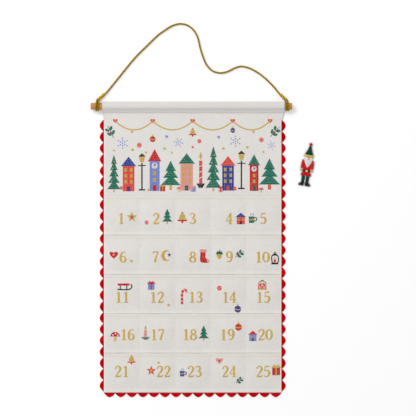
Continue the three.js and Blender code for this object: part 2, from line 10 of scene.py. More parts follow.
import bpy
import numpy as np
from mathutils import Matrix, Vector


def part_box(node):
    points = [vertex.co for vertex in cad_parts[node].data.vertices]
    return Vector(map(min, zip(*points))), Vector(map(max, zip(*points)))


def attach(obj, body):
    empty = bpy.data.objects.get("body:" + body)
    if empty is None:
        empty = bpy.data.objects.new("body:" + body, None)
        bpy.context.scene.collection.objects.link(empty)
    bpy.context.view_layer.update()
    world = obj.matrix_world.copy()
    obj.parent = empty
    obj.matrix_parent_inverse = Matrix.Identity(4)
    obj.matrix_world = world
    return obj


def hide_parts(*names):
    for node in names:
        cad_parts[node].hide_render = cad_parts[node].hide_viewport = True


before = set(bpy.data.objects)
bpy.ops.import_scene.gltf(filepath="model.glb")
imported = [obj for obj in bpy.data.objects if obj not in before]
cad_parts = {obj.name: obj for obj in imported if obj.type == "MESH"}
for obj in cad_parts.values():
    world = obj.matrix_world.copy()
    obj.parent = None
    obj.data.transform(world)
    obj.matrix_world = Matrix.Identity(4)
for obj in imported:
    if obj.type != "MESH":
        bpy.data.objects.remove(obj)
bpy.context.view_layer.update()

MM = 0.001
SCENE = bpy.context.scene


def box_mm(node):
    """Lowest and highest corner of a CAD node."""
    low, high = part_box(node)
    return np.array(low) / MM, np.array(high) / MM


# The frame that the sizes below follow
front_low, front_high = box_mm("front_panel")
sleeve_low, sleeve_high = box_mm("rod_sleeve")
dowel_low, dowel_high = box_mm("dowel")
strip_boxes = [box_mm(f"pocket_row_{row}") for row in range(1, 6)]
half_width = front_high[0]
bottom_y = front_low[1]
seam_y = sleeve_low[1]
panel_top_z = front_high[2]
dowel_y = (dowel_low[1] + dowel_high[1]) / 2
dowel_z = (dowel_low[2] + dowel_high[2]) / 2
dowel_radius = (dowel_high[2] - dowel_low[2]) / 2

touch_gap = 0.3
cloth_thickness = 1.0

# Photograph's framing
image_side_px = 416
mm_per_px = 3.0
panel_middle_px = 192.7
panel_origin_px = 247.27
lens = 85
sensor = 36

# Pockets
pocket_count = 5
stitch_width = 3
strip_margin = 2.5
strip_foot = 4
strip_reach = 0.5
pocket_fullness = 7.4
side_fullness = 2.6
foot_fullness = 2.8
mouth_fall_share = 0.82
mouth_hem = 8
mouth_roll = 0.5
hem_rise = 0.25
seam_depth = 0.25
seam_half_width = 0.9
mouth_waver = 0.3
pocket_pitch = (2 * half_width - 2 * strip_margin + stitch_width) / pocket_count
pocket_width = pocket_pitch - stitch_width
edge_stitch_in = 3.6
foot_stitch_in = 2
foot_stitch_rise = 4
mouth_stitch_in = 1
seam_stitch_in = 3
flare_height = 34
margin_blur = 0.5
margin_fade = 8

# Cloth's relief
pocket_least_share = 0.87
pocket_change_share = 0.13
mouth_fall_from_share = 0.45
fold_wave = 46
fold_height = 0.8
fine_fold_wave = 20
fine_fold_height = 0.25
header_wave = 120
header_wave_height = 0.7
header_fine_wave = 44
header_fine_height = 0.28
header_swell = 0.75
calm_above_mouth = 20
calm_below_seam = (14, 2)
edge_roll = 0.35
edge_roll_reach = 0.9
edge_stitch_depth = 0.22
foot_stitch_depth = 0.15
stitch_reach = 0.7
hem_blend = 0.6
mouth_roll_reach = 0.8
waver_wave = 90
waver_height = 20
thinnest_cloth = 0.4
lining_swell = 0.3
lining_wave = 60

# Steps of the cloths' meshes
layer_step = 9
panel_step = 3.4
strip_rows = 50
strip_columns = 205
hem_fine_reach = 2
hem_fine_rows = 9
mouth_fine_steps = (0.4, 0.9, 1.6)

# Reach of the strips' painted shade and painted light, from a hem or a foot inwards
hem_shade_reach = (16, 1)
turned_shade_reach = (2, 16)
seam_shade_reach = 1.2

# Rod sleeve
sleeve_slack = 3
sleeve_lean = 0.35
sleeve_foot_reach = (5.5, 0.2)
sleeve_flank_reach = 7
sleeve_gather = 0.2
sleeve_painted_light_end = 8
sleeve_sides = 60
sleeve_stations = 210
sleeve_inner_clear = (1, 0.8)
gather_wave = 26
gather_girth = 60
gather_reach_share = 2.1
sleeve_painted_light_start = 2
seam_overlap = 0.5

# Scalloped trim
side_trim_box = box_mm("scallop_trim_right")
side_trim_foot_y = side_trim_box[0][1]
side_trim_top_y = side_trim_box[1][1]
bottom_trim_half = box_mm("scallop_trim_bottom")[1][0]
trim_foot = 1.5
tape_width = 6
tape_half_thickness = 0.45
tape_swell_reach = 1.2
side_lobe_count = 24
side_lobe_depth = 12.8
bottom_lobe_count = 16
bottom_lobe_depth = 14
lobe_fullness = 1.85
lobe_half_thickness = 1.6
trim_steps_per_lobe = 20
trim_rings = 12
trim_end_tape = 0.2
trim_thinnest = 0.05
trim_wave = 30
trim_unevenness = 0.12
trim_seam_shade_reach = (1.2, 3.2)
trim_rib = 0.8
rim_share = 0.75
rim_rise_share = 0.35
notch_fullness_share = 0.55
notch_reach = 1.4
notch_share = 0.6

# Dowel
dowel_ease = 0.6
dowel_face_radius = 0.5
dowel_flat_share = 0.82
dowel_bevel_share = 0.3
dowel_stations = 60
dowel_sides = 72

# Cord
cord_diameter = 4.5
cord_drawn_diameter = 6
cord_wound_diameter = 5
cord_lay = 19
winding_gap = 1.4
front_passes = 2
unfinished_turn_share = 0.25
lead_angle_degrees = 35
rising_reach = 9
returning_reach = 15
doubled_end_reach = 3
lead_gap = 0.7
doubled_end_turns = 1.25
doubled_overlap = 5
cord_strands = 3
cord_sides = 24
exit_gap = 0.6
exit_run = 5
winding_out_left = 15.5
winding_out_right = 7.7
doubled_left_start = (3.1, 22.9)
doubled_left_run = (18, 14.8)
doubled_right_start = (-5.2, 22.9)
doubled_right_run = (-15.4, 14.7)
bend_steps = 12
curve_steps = 25
least_gap = 1e-4
winding_steps_per_turn = 36
winding_samples = 190
doubled_samples = 60
route_samples = 900
cord_route = [
    (-245.6, 478.7), (-220.2, 510.2), (-171, 569.9), (-138, 602.9), (-101.1, 637.7),
    (-76.2, 655.1), (-59.7, 664.4), (-37.2, 669.8), (-16.5, 665.6), (1.8, 652.1),
    (14.1, 631.7), (22.5, 598.7), (31.5, 569.9), (41.1, 548), (59.4, 528.8),
    (82.2, 522.5), (104.7, 526.7), (125.4, 536.9), (143.7, 542), (166.5, 538.1),
    (193.2, 524.6), (219.9, 504.2), (244.5, 479.3),
]


# Camera, straight above the middle of the photograph
def make_camera():
    data = bpy.data.cameras.new("camera")
    data.lens = lens
    data.sensor_width = sensor
    camera = bpy.data.objects.new("camera", data)
    SCENE.collection.objects.link(camera)
    middle = image_side_px / 2
    across = (middle - panel_middle_px) * mm_per_px
    up = (panel_origin_px - middle) * mm_per_px
    height = image_side_px * mm_per_px * lens / sensor
    camera.location = (across * MM, up * MM, height * MM)
    SCENE.camera = camera


make_camera()


# Shader maths
class Value:
    """A socket that takes part in sums."""

    def __init__(self, finish, socket):
        self.finish = finish
        self.socket = socket

    def math(self, operation, *others):
        return self.finish.node("ShaderNodeMath", {"operation": operation}, [self, *others])

    def __add__(self, other):
        return self.math("ADD", other)

    def __sub__(self, other):
        return self.math("SUBTRACT", other)

    def __mul__(self, other):
        return self.math("MULTIPLY", other)

    def __rsub__(self, other):
        return self.finish.node("ShaderNodeMath", {"operation": "SUBTRACT"}, [other, self])

    __radd__ = __add__
    __rmul__ = __mul__

    def sine(self):
        return self.math("SINE")

    def size(self):
        return self.math("ABSOLUTE")

    def over(self, low, high):
        """0 below low, 1 above high and a smooth rise between them."""
        settings = {"interpolation_type": "SMOOTHSTEP"}
        return self.finish.node("ShaderNodeMapRange", settings, {0: self, 1: low, 2: high})


class Nodes:
    """A node tree, with the one method that makes and joins its nodes."""

    def __init__(self, tree):
        self.tree = tree

    def node(self, kind, settings=None, sockets=(), output=0):
        made = self.tree.nodes.new(kind)
        for key, value in (settings or {}).items():
            setattr(made, key, value)
        pairs = sockets.items() if isinstance(sockets, dict) else enumerate(sockets)
        for key, value in pairs:
            self.join(made.inputs[key], value)
        return Value(self, made.outputs[output])

    def join(self, socket, value):
        if isinstance(value, Value):
            self.tree.links.new(value.socket, socket)
        else:
            socket.default_value = value

    def seen_rays(self):
        """1 for what the camera, a gloss or a clear body sees, and 0 for what lights the object."""
        kinds = ("Is Camera Ray", "Is Glossy Ray", "Is Transmission Ray")
        camera, gloss, clear = [self.node("ShaderNodeLightPath", output=kind) for kind in kinds]
        return camera + gloss + clear


class Finish(Nodes):
    """A material on a Principled shader."""

    def __init__(self, name, roughness, metallic=0.0, sheen=0.0, specular=0.5):
        self.material = bpy.data.materials.new(name)
        self.material.use_nodes = True
        super().__init__(self.material.node_tree)
        self.shader = self.tree.nodes["Principled BSDF"]
        self.shader.inputs["Roughness"].default_value = roughness
        self.shader.inputs["Metallic"].default_value = metallic
        self.shader.inputs["Sheen Weight"].default_value = sheen
        self.shader.inputs["Specular IOR Level"].default_value = specular

    def put(self, name, value):
        self.join(self.shader.inputs[name], value)

    def place(self, source="Object"):
        return self.node("ShaderNodeTexCoord", output=source)

    def axes(self, vector):
        return [self.node("ShaderNodeSeparateXYZ", None, [vector], i) for i in range(3)]

    def stretched(self, vector, scale):
        return self.node("ShaderNodeVectorMath", {"operation": "MULTIPLY"}, [vector, scale])

    def noise(self, vector, scale, detail=3.0):
        sockets = {"Vector": vector, "Scale": scale, "Detail": detail}
        return self.node("ShaderNodeTexNoise", {"noise_dimensions": "3D"}, sockets)

    def mix(self, factor, first, second):
        settings = {"data_type": "RGBA"}
        return self.node("ShaderNodeMix", settings, {0: factor, 6: first, 7: second}, 2)

    def bump(self, height, distance_mm, strength=1.0):
        sockets = {"Strength": strength, "Distance": distance_mm * MM, "Height": height}
        self.put("Normal", self.node("ShaderNodeBump", None, sockets))


def colour(red, green, blue):
    """An sRGB colour from 0 to 255 as linear light."""
    def linear(level):
        share = level / 255
        return share / 12.92 if share <= 0.04045 else ((share + 0.055) / 1.055) ** 2.4

    return (linear(red), linear(green), linear(blue), 1.0)


def canvas_finish(name, base, shade, thread_mm=0.75, margin=None, marks=(), sheen=0.08):
    """Plain-woven cotton: over and under threads, slubs along both ways and a faint mottle.
    A margin is the colour of the turned edge outside its stitching. Each mark is the name of an
    attribute, its colour and its share."""
    made = Finish(name, roughness=0.92, sheen=sheen, specular=0.25)
    place = made.place()
    x, y, _ = made.axes(place)
    turn = math.pi / (thread_mm * MM)
    weave = (x * turn).sine() * (y * turn).sine()
    slub_across = made.noise(made.stretched(place, (60, 900, 300)), 1.0, 2.0)
    slub_up = made.noise(made.stretched(place, (900, 60, 300)), 1.0, 2.0)
    slubs = slub_across + slub_up - 1.0
    mottle = made.noise(place, 14.0, 4.0)
    cloth = made.mix(mottle * 0.7 + slubs * 1.4, shade, base)
    if margin is not None:
        edge = half_width - edge_stitch_in
        outside = x.size().over((edge - margin_blur) * MM, (edge + margin_blur) * MM)
        flare_foot = seam_y - flare_height
        below = 1 - y.over(flare_foot * MM, (flare_foot + margin_fade) * MM)
        cloth = made.mix(outside * below * 0.7, cloth, margin)
    for mark, tint, share in marks:
        marked = made.node("ShaderNodeAttribute", {"attribute_name": mark}, output="Fac")
        cloth = made.mix(marked * share, cloth, tint)
    made.put("Base Color", cloth)
    made.bump(weave * 0.5 + slubs * 0.9, 0.22, 0.55)
    return made.material


def wood_finish(name):
    """Bare turned hardwood, its grain along X and rings on the ends."""
    made = Finish(name, roughness=0.55)
    place = made.place()
    axis = (0, dowel_y * MM, dowel_z * MM)
    centred = made.node("ShaderNodeVectorMath", {"operation": "SUBTRACT"}, [place, axis])
    drawn = made.stretched(centred, (7, 160, 160))
    figure = made.noise(drawn, 1.0, 5.0)
    fine = made.noise(made.stretched(centred, (40, 1500, 1500)), 1.0, 3.0)
    _, y, z = made.axes(centred)
    rings = ((y * 1.4 + z * 0.7) * 2100 + figure * 9).sine()
    tone = figure * 0.75 + rings * 0.11 + fine * 0.25
    low, high = colour(161, 97, 45), colour(213, 152, 85)
    made.put("Base Color", made.mix(tone, low, high))
    made.put("Roughness", 0.68 - figure * 0.2)
    made.bump(fine * 0.7 + rings * 0.2, 0.12, 0.5)
    return made.material


def cord_finish(name, bright, groove_shade):
    """Twisted metallic yarn with fine ply lines along each strand, and painted shade that darkens the
    grooves between its strands and leaves the crowns bright.
    """
    made = Finish(name, roughness=0.42, metallic=0.6, specular=0.08)
    groove = made.node("ShaderNodeAttribute", {"attribute_name": "groove"}, output="Fac")
    u, v, _ = made.axes(made.place("UV"))
    ply = (v * 150 + u * 900).sine()
    flecks = made.noise(made.place(), 900.0, 2.0)
    # Painted shade in the grooves between strands, with random flecks.
    depth = groove.math("POWER", 0.7) + flecks * 0.2 - ply * 0.06
    made.put("Base Color", made.mix(depth, bright, groove_shade))
    made.put("Roughness", 0.34 + groove * 0.25 + flecks * 0.1)
    made.bump(ply * 0.5 + flecks, 0.15, 0.6)
    return made.material


def trim_finish(name):
    """Red woven ric-rac in a random cloudy tone, with painted shade where it leaves the seam and in the
    notches between its lobes.
    """
    made = Finish(name, roughness=0.6, specular=0.03)
    place = made.place()
    painted_shade = made.node("ShaderNodeAttribute", {"attribute_name": "painted_shade"}, output="Fac")
    x, y, _ = made.axes(place)
    ribs = ((x + y) * (math.pi / (trim_rib * MM))).sine()
    cloud = made.noise(place, 110.0, 3.0)
    red, dark = colour(214, 0, 8), colour(92, 0, 2)
    # Painted shade: darker by the seam and in the notches between lobes, mixed with the random cloudy tone.
    made.put("Base Color", made.mix(painted_shade * 0.2 + cloud.over(0.3, 0.7) * 0.6, red, dark))
    made.put("Roughness", 0.5 + cloud * 0.18)
    made.bump(ribs * 0.3 + cloud, 0.14, 0.4)
    return made.material


def thread_finish(name, base, metallic=0.0):
    """Embroidery floss, a little uneven from stitch to stitch."""
    made = Finish(name, roughness=0.5, metallic=metallic, sheen=0.05, specular=0.2)
    place = made.place()
    uneven = made.noise(place, 420.0, 2.0)
    hairs = made.noise(place, 2600.0, 1.0)
    dark = tuple(level * 0.7 for level in base[:3]) + (1.0,)
    made.put("Base Color", made.mix(uneven * 0.6, base, dark))
    made.put("Roughness", 0.4 + uneven * 0.2)
    made.bump(hairs, 0.08, 0.5)
    return made.material


def felt_finish(name, base):
    """Pressed wool felt with a short nap."""
    made = Finish(name, roughness=0.97, sheen=0.25)
    place = made.place()
    nap = made.noise(place, 1500.0, 5.0)
    cloud = made.noise(place, 90.0, 3.0)
    dark = tuple(level * 0.8 for level in base[:3]) + (1.0,)
    made.put("Base Color", made.mix(nap * 0.5 + cloud * 0.3, base, dark))
    made.bump(nap, 0.35, 0.7)
    return made.material


thread_colours = {
    "gold": (226, 196, 102),
    "green": (4, 128, 104),
    "pine": (4, 72, 58),
    "red": (220, 22, 30),
    "coral": (244, 84, 74),
    "pink": (250, 178, 172),
    "periwinkle": (140, 156, 226),
    "blue": (46, 74, 168),
    "black": (26, 23, 24),
    "white": (244, 244, 242),
    "cream": (236, 214, 158),
    "natural": (234, 230, 222),
    "skin": (236, 178, 150),
}
metallic_threads = {"gold": 0.1}
thread_slots = {
    "gold": "gold_thread",
    "green": "green_thread",
    "pine": "green_thread",
    "red": "red_thread",
    "black": "black_thread",
    "skin": "skin_thread",
}
threads = {
    name: thread_finish(f"{name}_floss", colour(*level), metallic_threads.get(name, 0.0))
    for name, level in thread_colours.items()
}
canvas_colours = (colour(232, 229, 225), colour(219, 215, 210))
# Painted light and shade on the pocket strips: the hem mark paints the shadow of the strip above, darker and
# warmer, below each mouth; the turned mark paints the foot lighter, as if lit; the seam mark paints shade
# along the sunk hem stitching.
strip_painted_shading = [
    ("hem", colour(226, 218, 206), 0.4),
    ("turned", colour(240, 236, 230), 0.5),
    ("seam", colour(200, 193, 184), 0.15),
]
turned_margin = colour(238, 240, 235)
panel_canvas = canvas_finish("panel_canvas", *canvas_colours, margin=turned_margin, marks=strip_painted_shading)
# The sleeve is the same cloth as the panel, painted darker and greyer as painted shade; its hem mark paints
# light on the steep flank above the seam.
sleeve_shaded_colours = (colour(225, 222, 220), colour(213, 209, 206))
sleeve_painted_light = [("hem", colour(247, 244, 242), 1.0)]
sleeve_canvas_painted_shading = canvas_finish("sleeve_canvas_painted_shading", *sleeve_shaded_colours, marks=sleeve_painted_light, sheen=0.4)
lining_cloth = canvas_finish("lining_cloth", colour(222, 216, 207), colour(204, 197, 187), 0.6)
wadding = felt_finish("wadding", colour(232, 229, 222))
wood = wood_finish("bare_wood")
gold_twist = cord_finish("gold_twist", colour(196, 158, 0), colour(54, 34, 0))
# A lighter copy of the gold twist for the doubled ends, painted as if more brightly lit.
lit_gold_twist = cord_finish("lit_gold_twist", colour(246, 200, 30), colour(92, 58, 0))
red_satin = trim_finish("red_satin")
white_felt = felt_finish("white_felt", colour(232, 232, 234))


# Meshes
def mesh_piece(name, points, faces, material, uv=None, marks=None):
    """A smooth piece from points in millimetres. uv is one pair a point, marks one number a point."""
    mesh = bpy.data.meshes.new(name)
    mesh.from_pydata((np.asarray(points, float) * MM).tolist(), [], faces)
    mesh.materials.append(material)
    mesh.polygons.foreach_set("use_smooth", [True] * len(mesh.polygons))
    corners = np.zeros(len(mesh.loops), int)
    mesh.loops.foreach_get("vertex_index", corners)
    if uv is not None:
        layer = mesh.uv_layers.new(name="cloth")
        layer.data.foreach_set("uv", np.asarray(uv, float)[corners].ravel())
    for key, values in (marks or {}).items():
        layer = mesh.attributes.new(key, "FLOAT", "POINT")
        layer.data.foreach_set("value", np.asarray(values, float))
    mesh.update()
    made = bpy.data.objects.new(name, mesh)
    SCENE.collection.objects.link(made)
    return made


def carry(piece, body, slot=None, *nodes):
    """The piece rides on its body and stands for its CAD nodes, which it hides. Its slot is not used."""
    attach(piece, body)
    if nodes:
        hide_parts(*nodes)
    return piece


def ring_faces(rings, count, first=0, order=(0, 1, 2, 3)):
    """Faces between closed rings of points that follow one another."""
    start = first + count * np.arange(rings - 1)[:, None]
    here = np.arange(count)
    after = np.roll(here, -1)
    corners = [start + here, start + after, start + count + after, start + count + here]
    return np.stack([corners[k] for k in order], -1).reshape(-1, 4).tolist()


def closed_tube(rings, count):
    """Faces of a tube whose two ends are closed."""
    foot = list(range(count))
    return ring_faces(rings, count) + [foot[::-1], [(rings - 1) * count + k for k in foot]]


def shell(name, top, bottom, material, marks=None):
    """A closed cloth from its upper and lower faces, each a grid of rows by columns of points."""
    rows, columns = top.shape[:2]
    size = rows * columns
    index = np.arange(size).reshape(rows, columns)
    a, b = index[:-1, :-1].ravel(), index[:-1, 1:].ravel()
    c, d = index[1:, 1:].ravel(), index[1:, :-1].ravel()
    faces = np.stack([a, b, c, d], 1).tolist() + (np.stack([a, d, c, b], 1) + size).tolist()
    rim = [*index[0, :-1], *index[:-1, -1], *index[-1, :0:-1], *index[:0:-1, 0]]
    for first, second in zip(rim, rim[1:] + rim[:1]):
        faces.append([int(first), int(first + size), int(second + size), int(second)])
    points = np.concatenate([top.reshape(-1, 3), bottom.reshape(-1, 3)])
    both = {key: np.tile(values.ravel(), 2) for key, values in (marks or {}).items()}
    return mesh_piece(name, points, faces, material, points[:, :2] * MM, both)


def smooth(low, high, value):
    """0 below low, 1 above high and a smooth rise between them."""
    share = np.clip((value - low) / (high - low), 0, 1)
    return share * share * (3 - 2 * share)


def ripples(x, y, wavelength, seed, waves=9):
    """Gentle unevenness from -1 to 1, the same on each run."""
    chance = np.random.RandomState(seed)
    total = np.zeros(np.broadcast(x, y).shape)
    for _ in range(waves):
        angle = chance.uniform(0, math.pi)
        turn = 2 * math.pi / (wavelength * chance.uniform(0.6, 1.7))
        phase = chance.uniform(0, 2 * math.pi)
        total += np.sin(turn * (x * math.cos(angle) + y * math.sin(angle)) + phase)
    return total / waves ** 0.5 / 1.6


# Tubes and curves
def bend(start, leaving, end, meeting, steps):
    """A curve that leaves its start and meets its end as their two vectors say."""
    share = np.linspace(0, 1, steps)[:, None]
    rest = 1 - share
    first, second = start + leaving, end - meeting
    return rest**3 * start + 3 * rest**2 * share * first + 3 * rest * share**2 * second + share**3 * end


def centripetal(points, samples):
    """A centripetal Catmull-Rom curve through the points, sampled evenly by length."""
    knots = np.asarray(points, float)
    first, last = 2 * knots[0] - knots[1], 2 * knots[-1] - knots[-2]
    padded = np.vstack([first, knots, last])
    dense = []
    for p0, p1, p2, p3 in zip(padded, padded[1:], padded[2:], padded[3:]):
        gaps = np.linalg.norm([p1 - p0, p2 - p1, p3 - p2], axis=1)
        t0, t1, t2 = np.maximum(gaps, least_gap) ** 0.5
        leave = (p1 - p0) / t0 - (p2 - p0) / (t0 + t1) + (p2 - p1) / t1
        meet = (p2 - p1) / t1 - (p3 - p1) / (t1 + t2) + (p3 - p2) / t2
        third = t1 / 3
        dense.append(bend(p1, leave * third, p2, meet * third, curve_steps)[:-1])
    return evenly(np.vstack([*dense, knots[-1:]]), samples)


def walked(line):
    """How far along its length each point of a line is."""
    return np.concatenate([[0], np.cumsum(np.linalg.norm(np.diff(line, axis=0), axis=1))])


def evenly(line, samples):
    """The same line through points at even distances along it."""
    reach = walked(line)
    wanted = np.linspace(0, reach[-1], samples)
    return np.stack([np.interp(wanted, reach, line[:, k]) for k in range(line.shape[1])], 1)


def length_of(line):
    return float(walked(line)[-1])


def unit(vectors):
    return vectors / np.maximum(np.linalg.norm(vectors, axis=-1, keepdims=True), 1e-9)


def strand_reach(angle, radius):
    """How far a bundle of touching round strands reaches at an angle."""
    sector = 2 * math.pi / cord_strands
    off = (angle + sector / 2) % sector - sector / 2
    ratio = math.sin(math.pi / cord_strands)
    centre = radius / (1 + ratio)
    own = centre * ratio
    root = np.sqrt(np.maximum(own**2 - (centre * np.sin(off)) ** 2, 0))
    return centre * np.cos(off) + root


def twisted_tube(line, diameter):
    """Points, uv and groove of a twisted cord along a line."""
    count = len(line)
    along = unit(np.gradient(line, axis=0))
    side = np.cross(along[0], [0, 0, 1.0])
    sides_at = []
    for direction in along:
        side = unit(side - direction * (side @ direction))
        sides_at.append(side)
    sides_at = np.array(sides_at)
    ups = np.cross(along, sides_at)
    reach = walked(line)
    angle = 2 * math.pi * np.arange(cord_sides) / cord_sides
    radii = strand_reach(angle, diameter / 2)
    turned = angle + (2 * math.pi * reach / cord_lay)[:, None]
    ring = sides_at[:, None] * np.cos(turned)[..., None] + ups[:, None] * np.sin(turned)[..., None]
    points = (line[:, None] + ring * radii[:, None]).reshape(-1, 3)
    uv = np.stack([np.repeat(reach, cord_sides) * MM, np.tile(angle / (2 * math.pi), count)], 1)
    groove = np.tile((radii.max() - radii) / (radii.max() - radii.min()), count)
    return points, uv, groove


def cord_piece(name, lines, material, diameter):
    """One piece of one or more twisted tubes."""
    faces = []
    tubes = []
    start = 0
    for line in lines:
        tubes.append(twisted_tube(line, diameter))
        faces += [[start + corner for corner in face] for face in closed_tube(len(line), cord_sides)]
        start += len(line) * cord_sides
    points, uv, groove = (np.concatenate(part) for part in zip(*tubes))
    return mesh_piece(name, points, faces, material, uv, {"groove": groove})


# Hanging cord: the same route as its CAD solids
winding_left_x = sleeve_low[0] - winding_out_left
winding_right_x = sleeve_high[0] + winding_out_right
doubled_left = np.array([winding_left_x, dowel_y]) + doubled_left_start
doubled_right = np.array([winding_right_x, dowel_y]) + doubled_right_start
doubled_ends = {
    "left": (winding_left_x, doubled_left, doubled_left + doubled_left_run),
    "right": (winding_right_x, doubled_right, doubled_right + doubled_right_run),
}


def doubled_frame(near, far):
    """Both ends of a doubled end, the way along it and the way across it."""
    height = cord_diameter + touch_gap
    near, far = np.array([*near, height]), np.array([*far, height])
    along = (far - near) / np.linalg.norm(far - near)
    return near, far, along, np.array([-along[1], along[0], 0])


def winding_line(middle_x, near_point, far_point):
    """The cord's turns round the dowel, led in and out of its doubled end."""
    radius = dowel_radius + touch_gap + cord_diameter / 2
    pitch = cord_diameter + winding_gap
    start = math.radians(lead_angle_degrees)
    finish = 2 * math.pi * (front_passes - unfinished_turn_share)
    turns = (finish - start) / (2 * math.pi)
    across = np.sign(near_point[0] - middle_x)
    share = np.linspace(0, 1, round(winding_steps_per_turn * turns))
    angle = start + (finish - start) * share
    turned = np.stack([
        middle_x + across * pitch * turns * (0.5 - share),
        dowel_y + radius * np.cos(angle),
        dowel_z + radius * np.sin(angle),
    ], 1)
    near, _, along, side = doubled_frame(near_point, far_point)
    near = near - along * lead_gap
    rising = near - side * across * pitch / 2
    returning = near + side * across * pitch / 2
    onto = np.array([0, -math.sin(start), math.cos(start)]) * rising_reach
    first = bend(rising, -along * doubled_end_reach, turned[0], onto, bend_steps)
    away = np.array([0, returning_reach, 0.0])
    last = bend(turned[-1], away, returning, along * doubled_end_reach, bend_steps)
    return evenly(np.vstack([first[:-1], turned, last[1:]]), winding_samples)


def doubled_lines(near_point, far_point):
    """The two strands of a doubled end, twisted round each other."""
    near, far, along, side = doubled_frame(near_point, far_point)
    near = near - along * doubled_overlap
    orbit = cord_diameter / 2
    share = np.linspace(0, 1, doubled_samples)[:, None]
    lines = []
    for strand in (0, 1):
        angle = math.pi * (2 * doubled_end_turns * share + strand)
        middle = near + (far - near) * share
        lines.append(middle + side * orbit * np.cos(angle) + np.array([0, 0, orbit]) * np.sin(angle))
    return lines


def make_cord():
    left, right = [doubled_frame(*doubled_ends[side][1:]) for side in ("left", "right")]
    route = [np.array([x, y, cord_drawn_diameter / 2]) for x, y in cord_route]
    for out in (exit_run, exit_gap):
        route.insert(0, left[1] + left[2] * out)
        route.append(right[1] + right[2] * out)
    line = centripetal(route, route_samples)
    companions = []
    for side, (middle_x, near, far) in doubled_ends.items():
        turns = [winding_line(middle_x, near, far)]
        winding = cord_piece(f"cord_turns_{side}", turns, gold_twist, cord_wound_diameter)
        carry(winding, "cord", "gold_cord", f"cord_winding_{side}")
        doubled = cord_piece(f"cord_doubled_{side}", doubled_lines(near, far), lit_gold_twist,
                             cord_drawn_diameter)
        carry(doubled, "cord", "gold_cord", f"cord_doubled_end_{side}")
        companions += [winding, doubled]
    free = cord_piece("gold_hanging_cord", [line], gold_twist, cord_drawn_diameter)
    carry(free, "cord", "gold_cord", "hanging_cord")


make_cord()


# Cloth surfaces
def dent(distance, reach):
    """1 on a line and soon 0 on both sides of it."""
    return np.exp(-((distance / reach) ** 2))


def pocket_rise(row, x, y):
    """How far a strip stands up from its stitched-down lines."""
    low, high = strip_boxes[row]
    first = -half_width + strip_margin
    column = np.clip(np.floor((x - first) / pocket_pitch), 0, pocket_count - 1)
    across = np.clip((x - first - column * pocket_pitch) / pocket_width, 0, 1)
    up = np.clip((y - low[1] - strip_foot) / (high[1] - low[1] - strip_foot), 0, 1)
    belly = (1 - (1 - up) ** foot_fullness) * (1 - mouth_fall_share * smooth(mouth_fall_from_share, 1, up))
    full = (1 - np.abs(2 * across - 1) ** side_fullness) * belly
    each = pocket_least_share + pocket_change_share * np.sin(3.1 * column + 1.7 * row)
    folds = ripples(x, y, fold_wave, 11 + row) * fold_height
    fine_folds = ripples(x, y * 0.4, fine_fold_wave, 31 + row) * fine_fold_height
    return full * (pocket_fullness * each + folds + fine_folds)


def edge_shape(x):
    """The turned edge rolls down and its stitched line sinks a little."""
    inside = half_width - np.abs(x)
    rolled = edge_roll * dent(inside, edge_roll_reach)
    return -rolled - edge_stitch_depth * dent(inside - edge_stitch_in, stitch_reach)


def widened(x, y):
    """The front cloth runs out to the sleeve's ends at its top."""
    reach = np.where(x < 0, -sleeve_low[0], sleeve_high[0]) - half_width
    near_top = smooth(seam_y - flare_height, seam_y, y)
    return x * (1 + near_top * reach / half_width * np.abs(x) / half_width)


def front_top(x, y):
    first_mouth = strip_boxes[0][1][1]
    below_seam = [seam_y - clear for clear in calm_below_seam]
    free = smooth(first_mouth, first_mouth + calm_above_mouth, y) * (1 - smooth(*below_seam, y))
    waves = ripples(x, y, header_wave, 5) * header_wave_height
    waves += ripples(x, y, header_fine_wave, 6) * header_fine_height
    return panel_top_z + free * (waves + header_swell) * header_swell + edge_shape(x) * free


def strip_top(row, x, y):
    low, high = strip_boxes[row]
    hem_line = high[1] - mouth_hem
    hem = smooth(hem_line - hem_blend, hem_line + hem_blend, y) * hem_rise
    sunk = seam_depth * dent(y - hem_line, seam_half_width)
    foot_line = foot_stitch_depth * dent(y - low[1] - foot_stitch_in, stitch_reach)
    rolled = mouth_roll * np.exp(np.minimum(y - high[1] - strip_reach, 0) / mouth_roll_reach)
    lowered = sunk + foot_line + rolled
    return panel_top_z + cloth_thickness + pocket_rise(row, x, y) + hem - lowered + edge_shape(x)


def top_at(x, y):
    """Height of the uppermost cloth, for what is sewn on it."""
    x, y = np.asarray(x, float), np.asarray(y, float)
    height = front_top(x, y)
    for row, (low, high) in enumerate(strip_boxes):
        height = np.where((y >= low[1]) & (y <= high[1]), strip_top(row, x, y), height)
    return height


def grid(low, high, step):
    """Points over a rectangle, about one step apart."""
    across, up = [np.linspace(low[k], high[k], round((high[k] - low[k]) / step) + 1) for k in (0, 1)]
    return np.meshgrid(across, up)


def flat_layer(name, node, material, slot, seed, swell):
    """A plain layer of the panel, a closed sheet a little uneven on its lower face."""
    low, high = box_mm(node)
    x, y = grid(low, high, layer_step)
    uneven = swell * (0.5 + 0.5 * ripples(x, y, lining_wave, seed))
    top = np.stack([x, y, np.full(x.shape, high[2])], -1)
    bottom = np.stack([x, y, low[2] + uneven], -1)
    layer = carry(shell(name, top, bottom, material), "calendar", slot, node)


def make_panel():
    flat_layer("lining_sheet", "back_lining", lining_cloth, "lining", 3, lining_swell)
    flat_layer("wadding_sheet", "interlining", wadding, "interlining", 4, 0)
    x, y = grid((-half_width, bottom_y), (half_width, seam_y + seam_overlap), panel_step)
    wide = widened(x, y)
    top = np.stack([wide, y, front_top(x, y)], -1)
    bottom = np.stack([wide, y, np.full(x.shape, front_low[2])], -1)
    panel = carry(shell("front_cloth", top, bottom, panel_canvas), "calendar", "canvas", "front_panel")


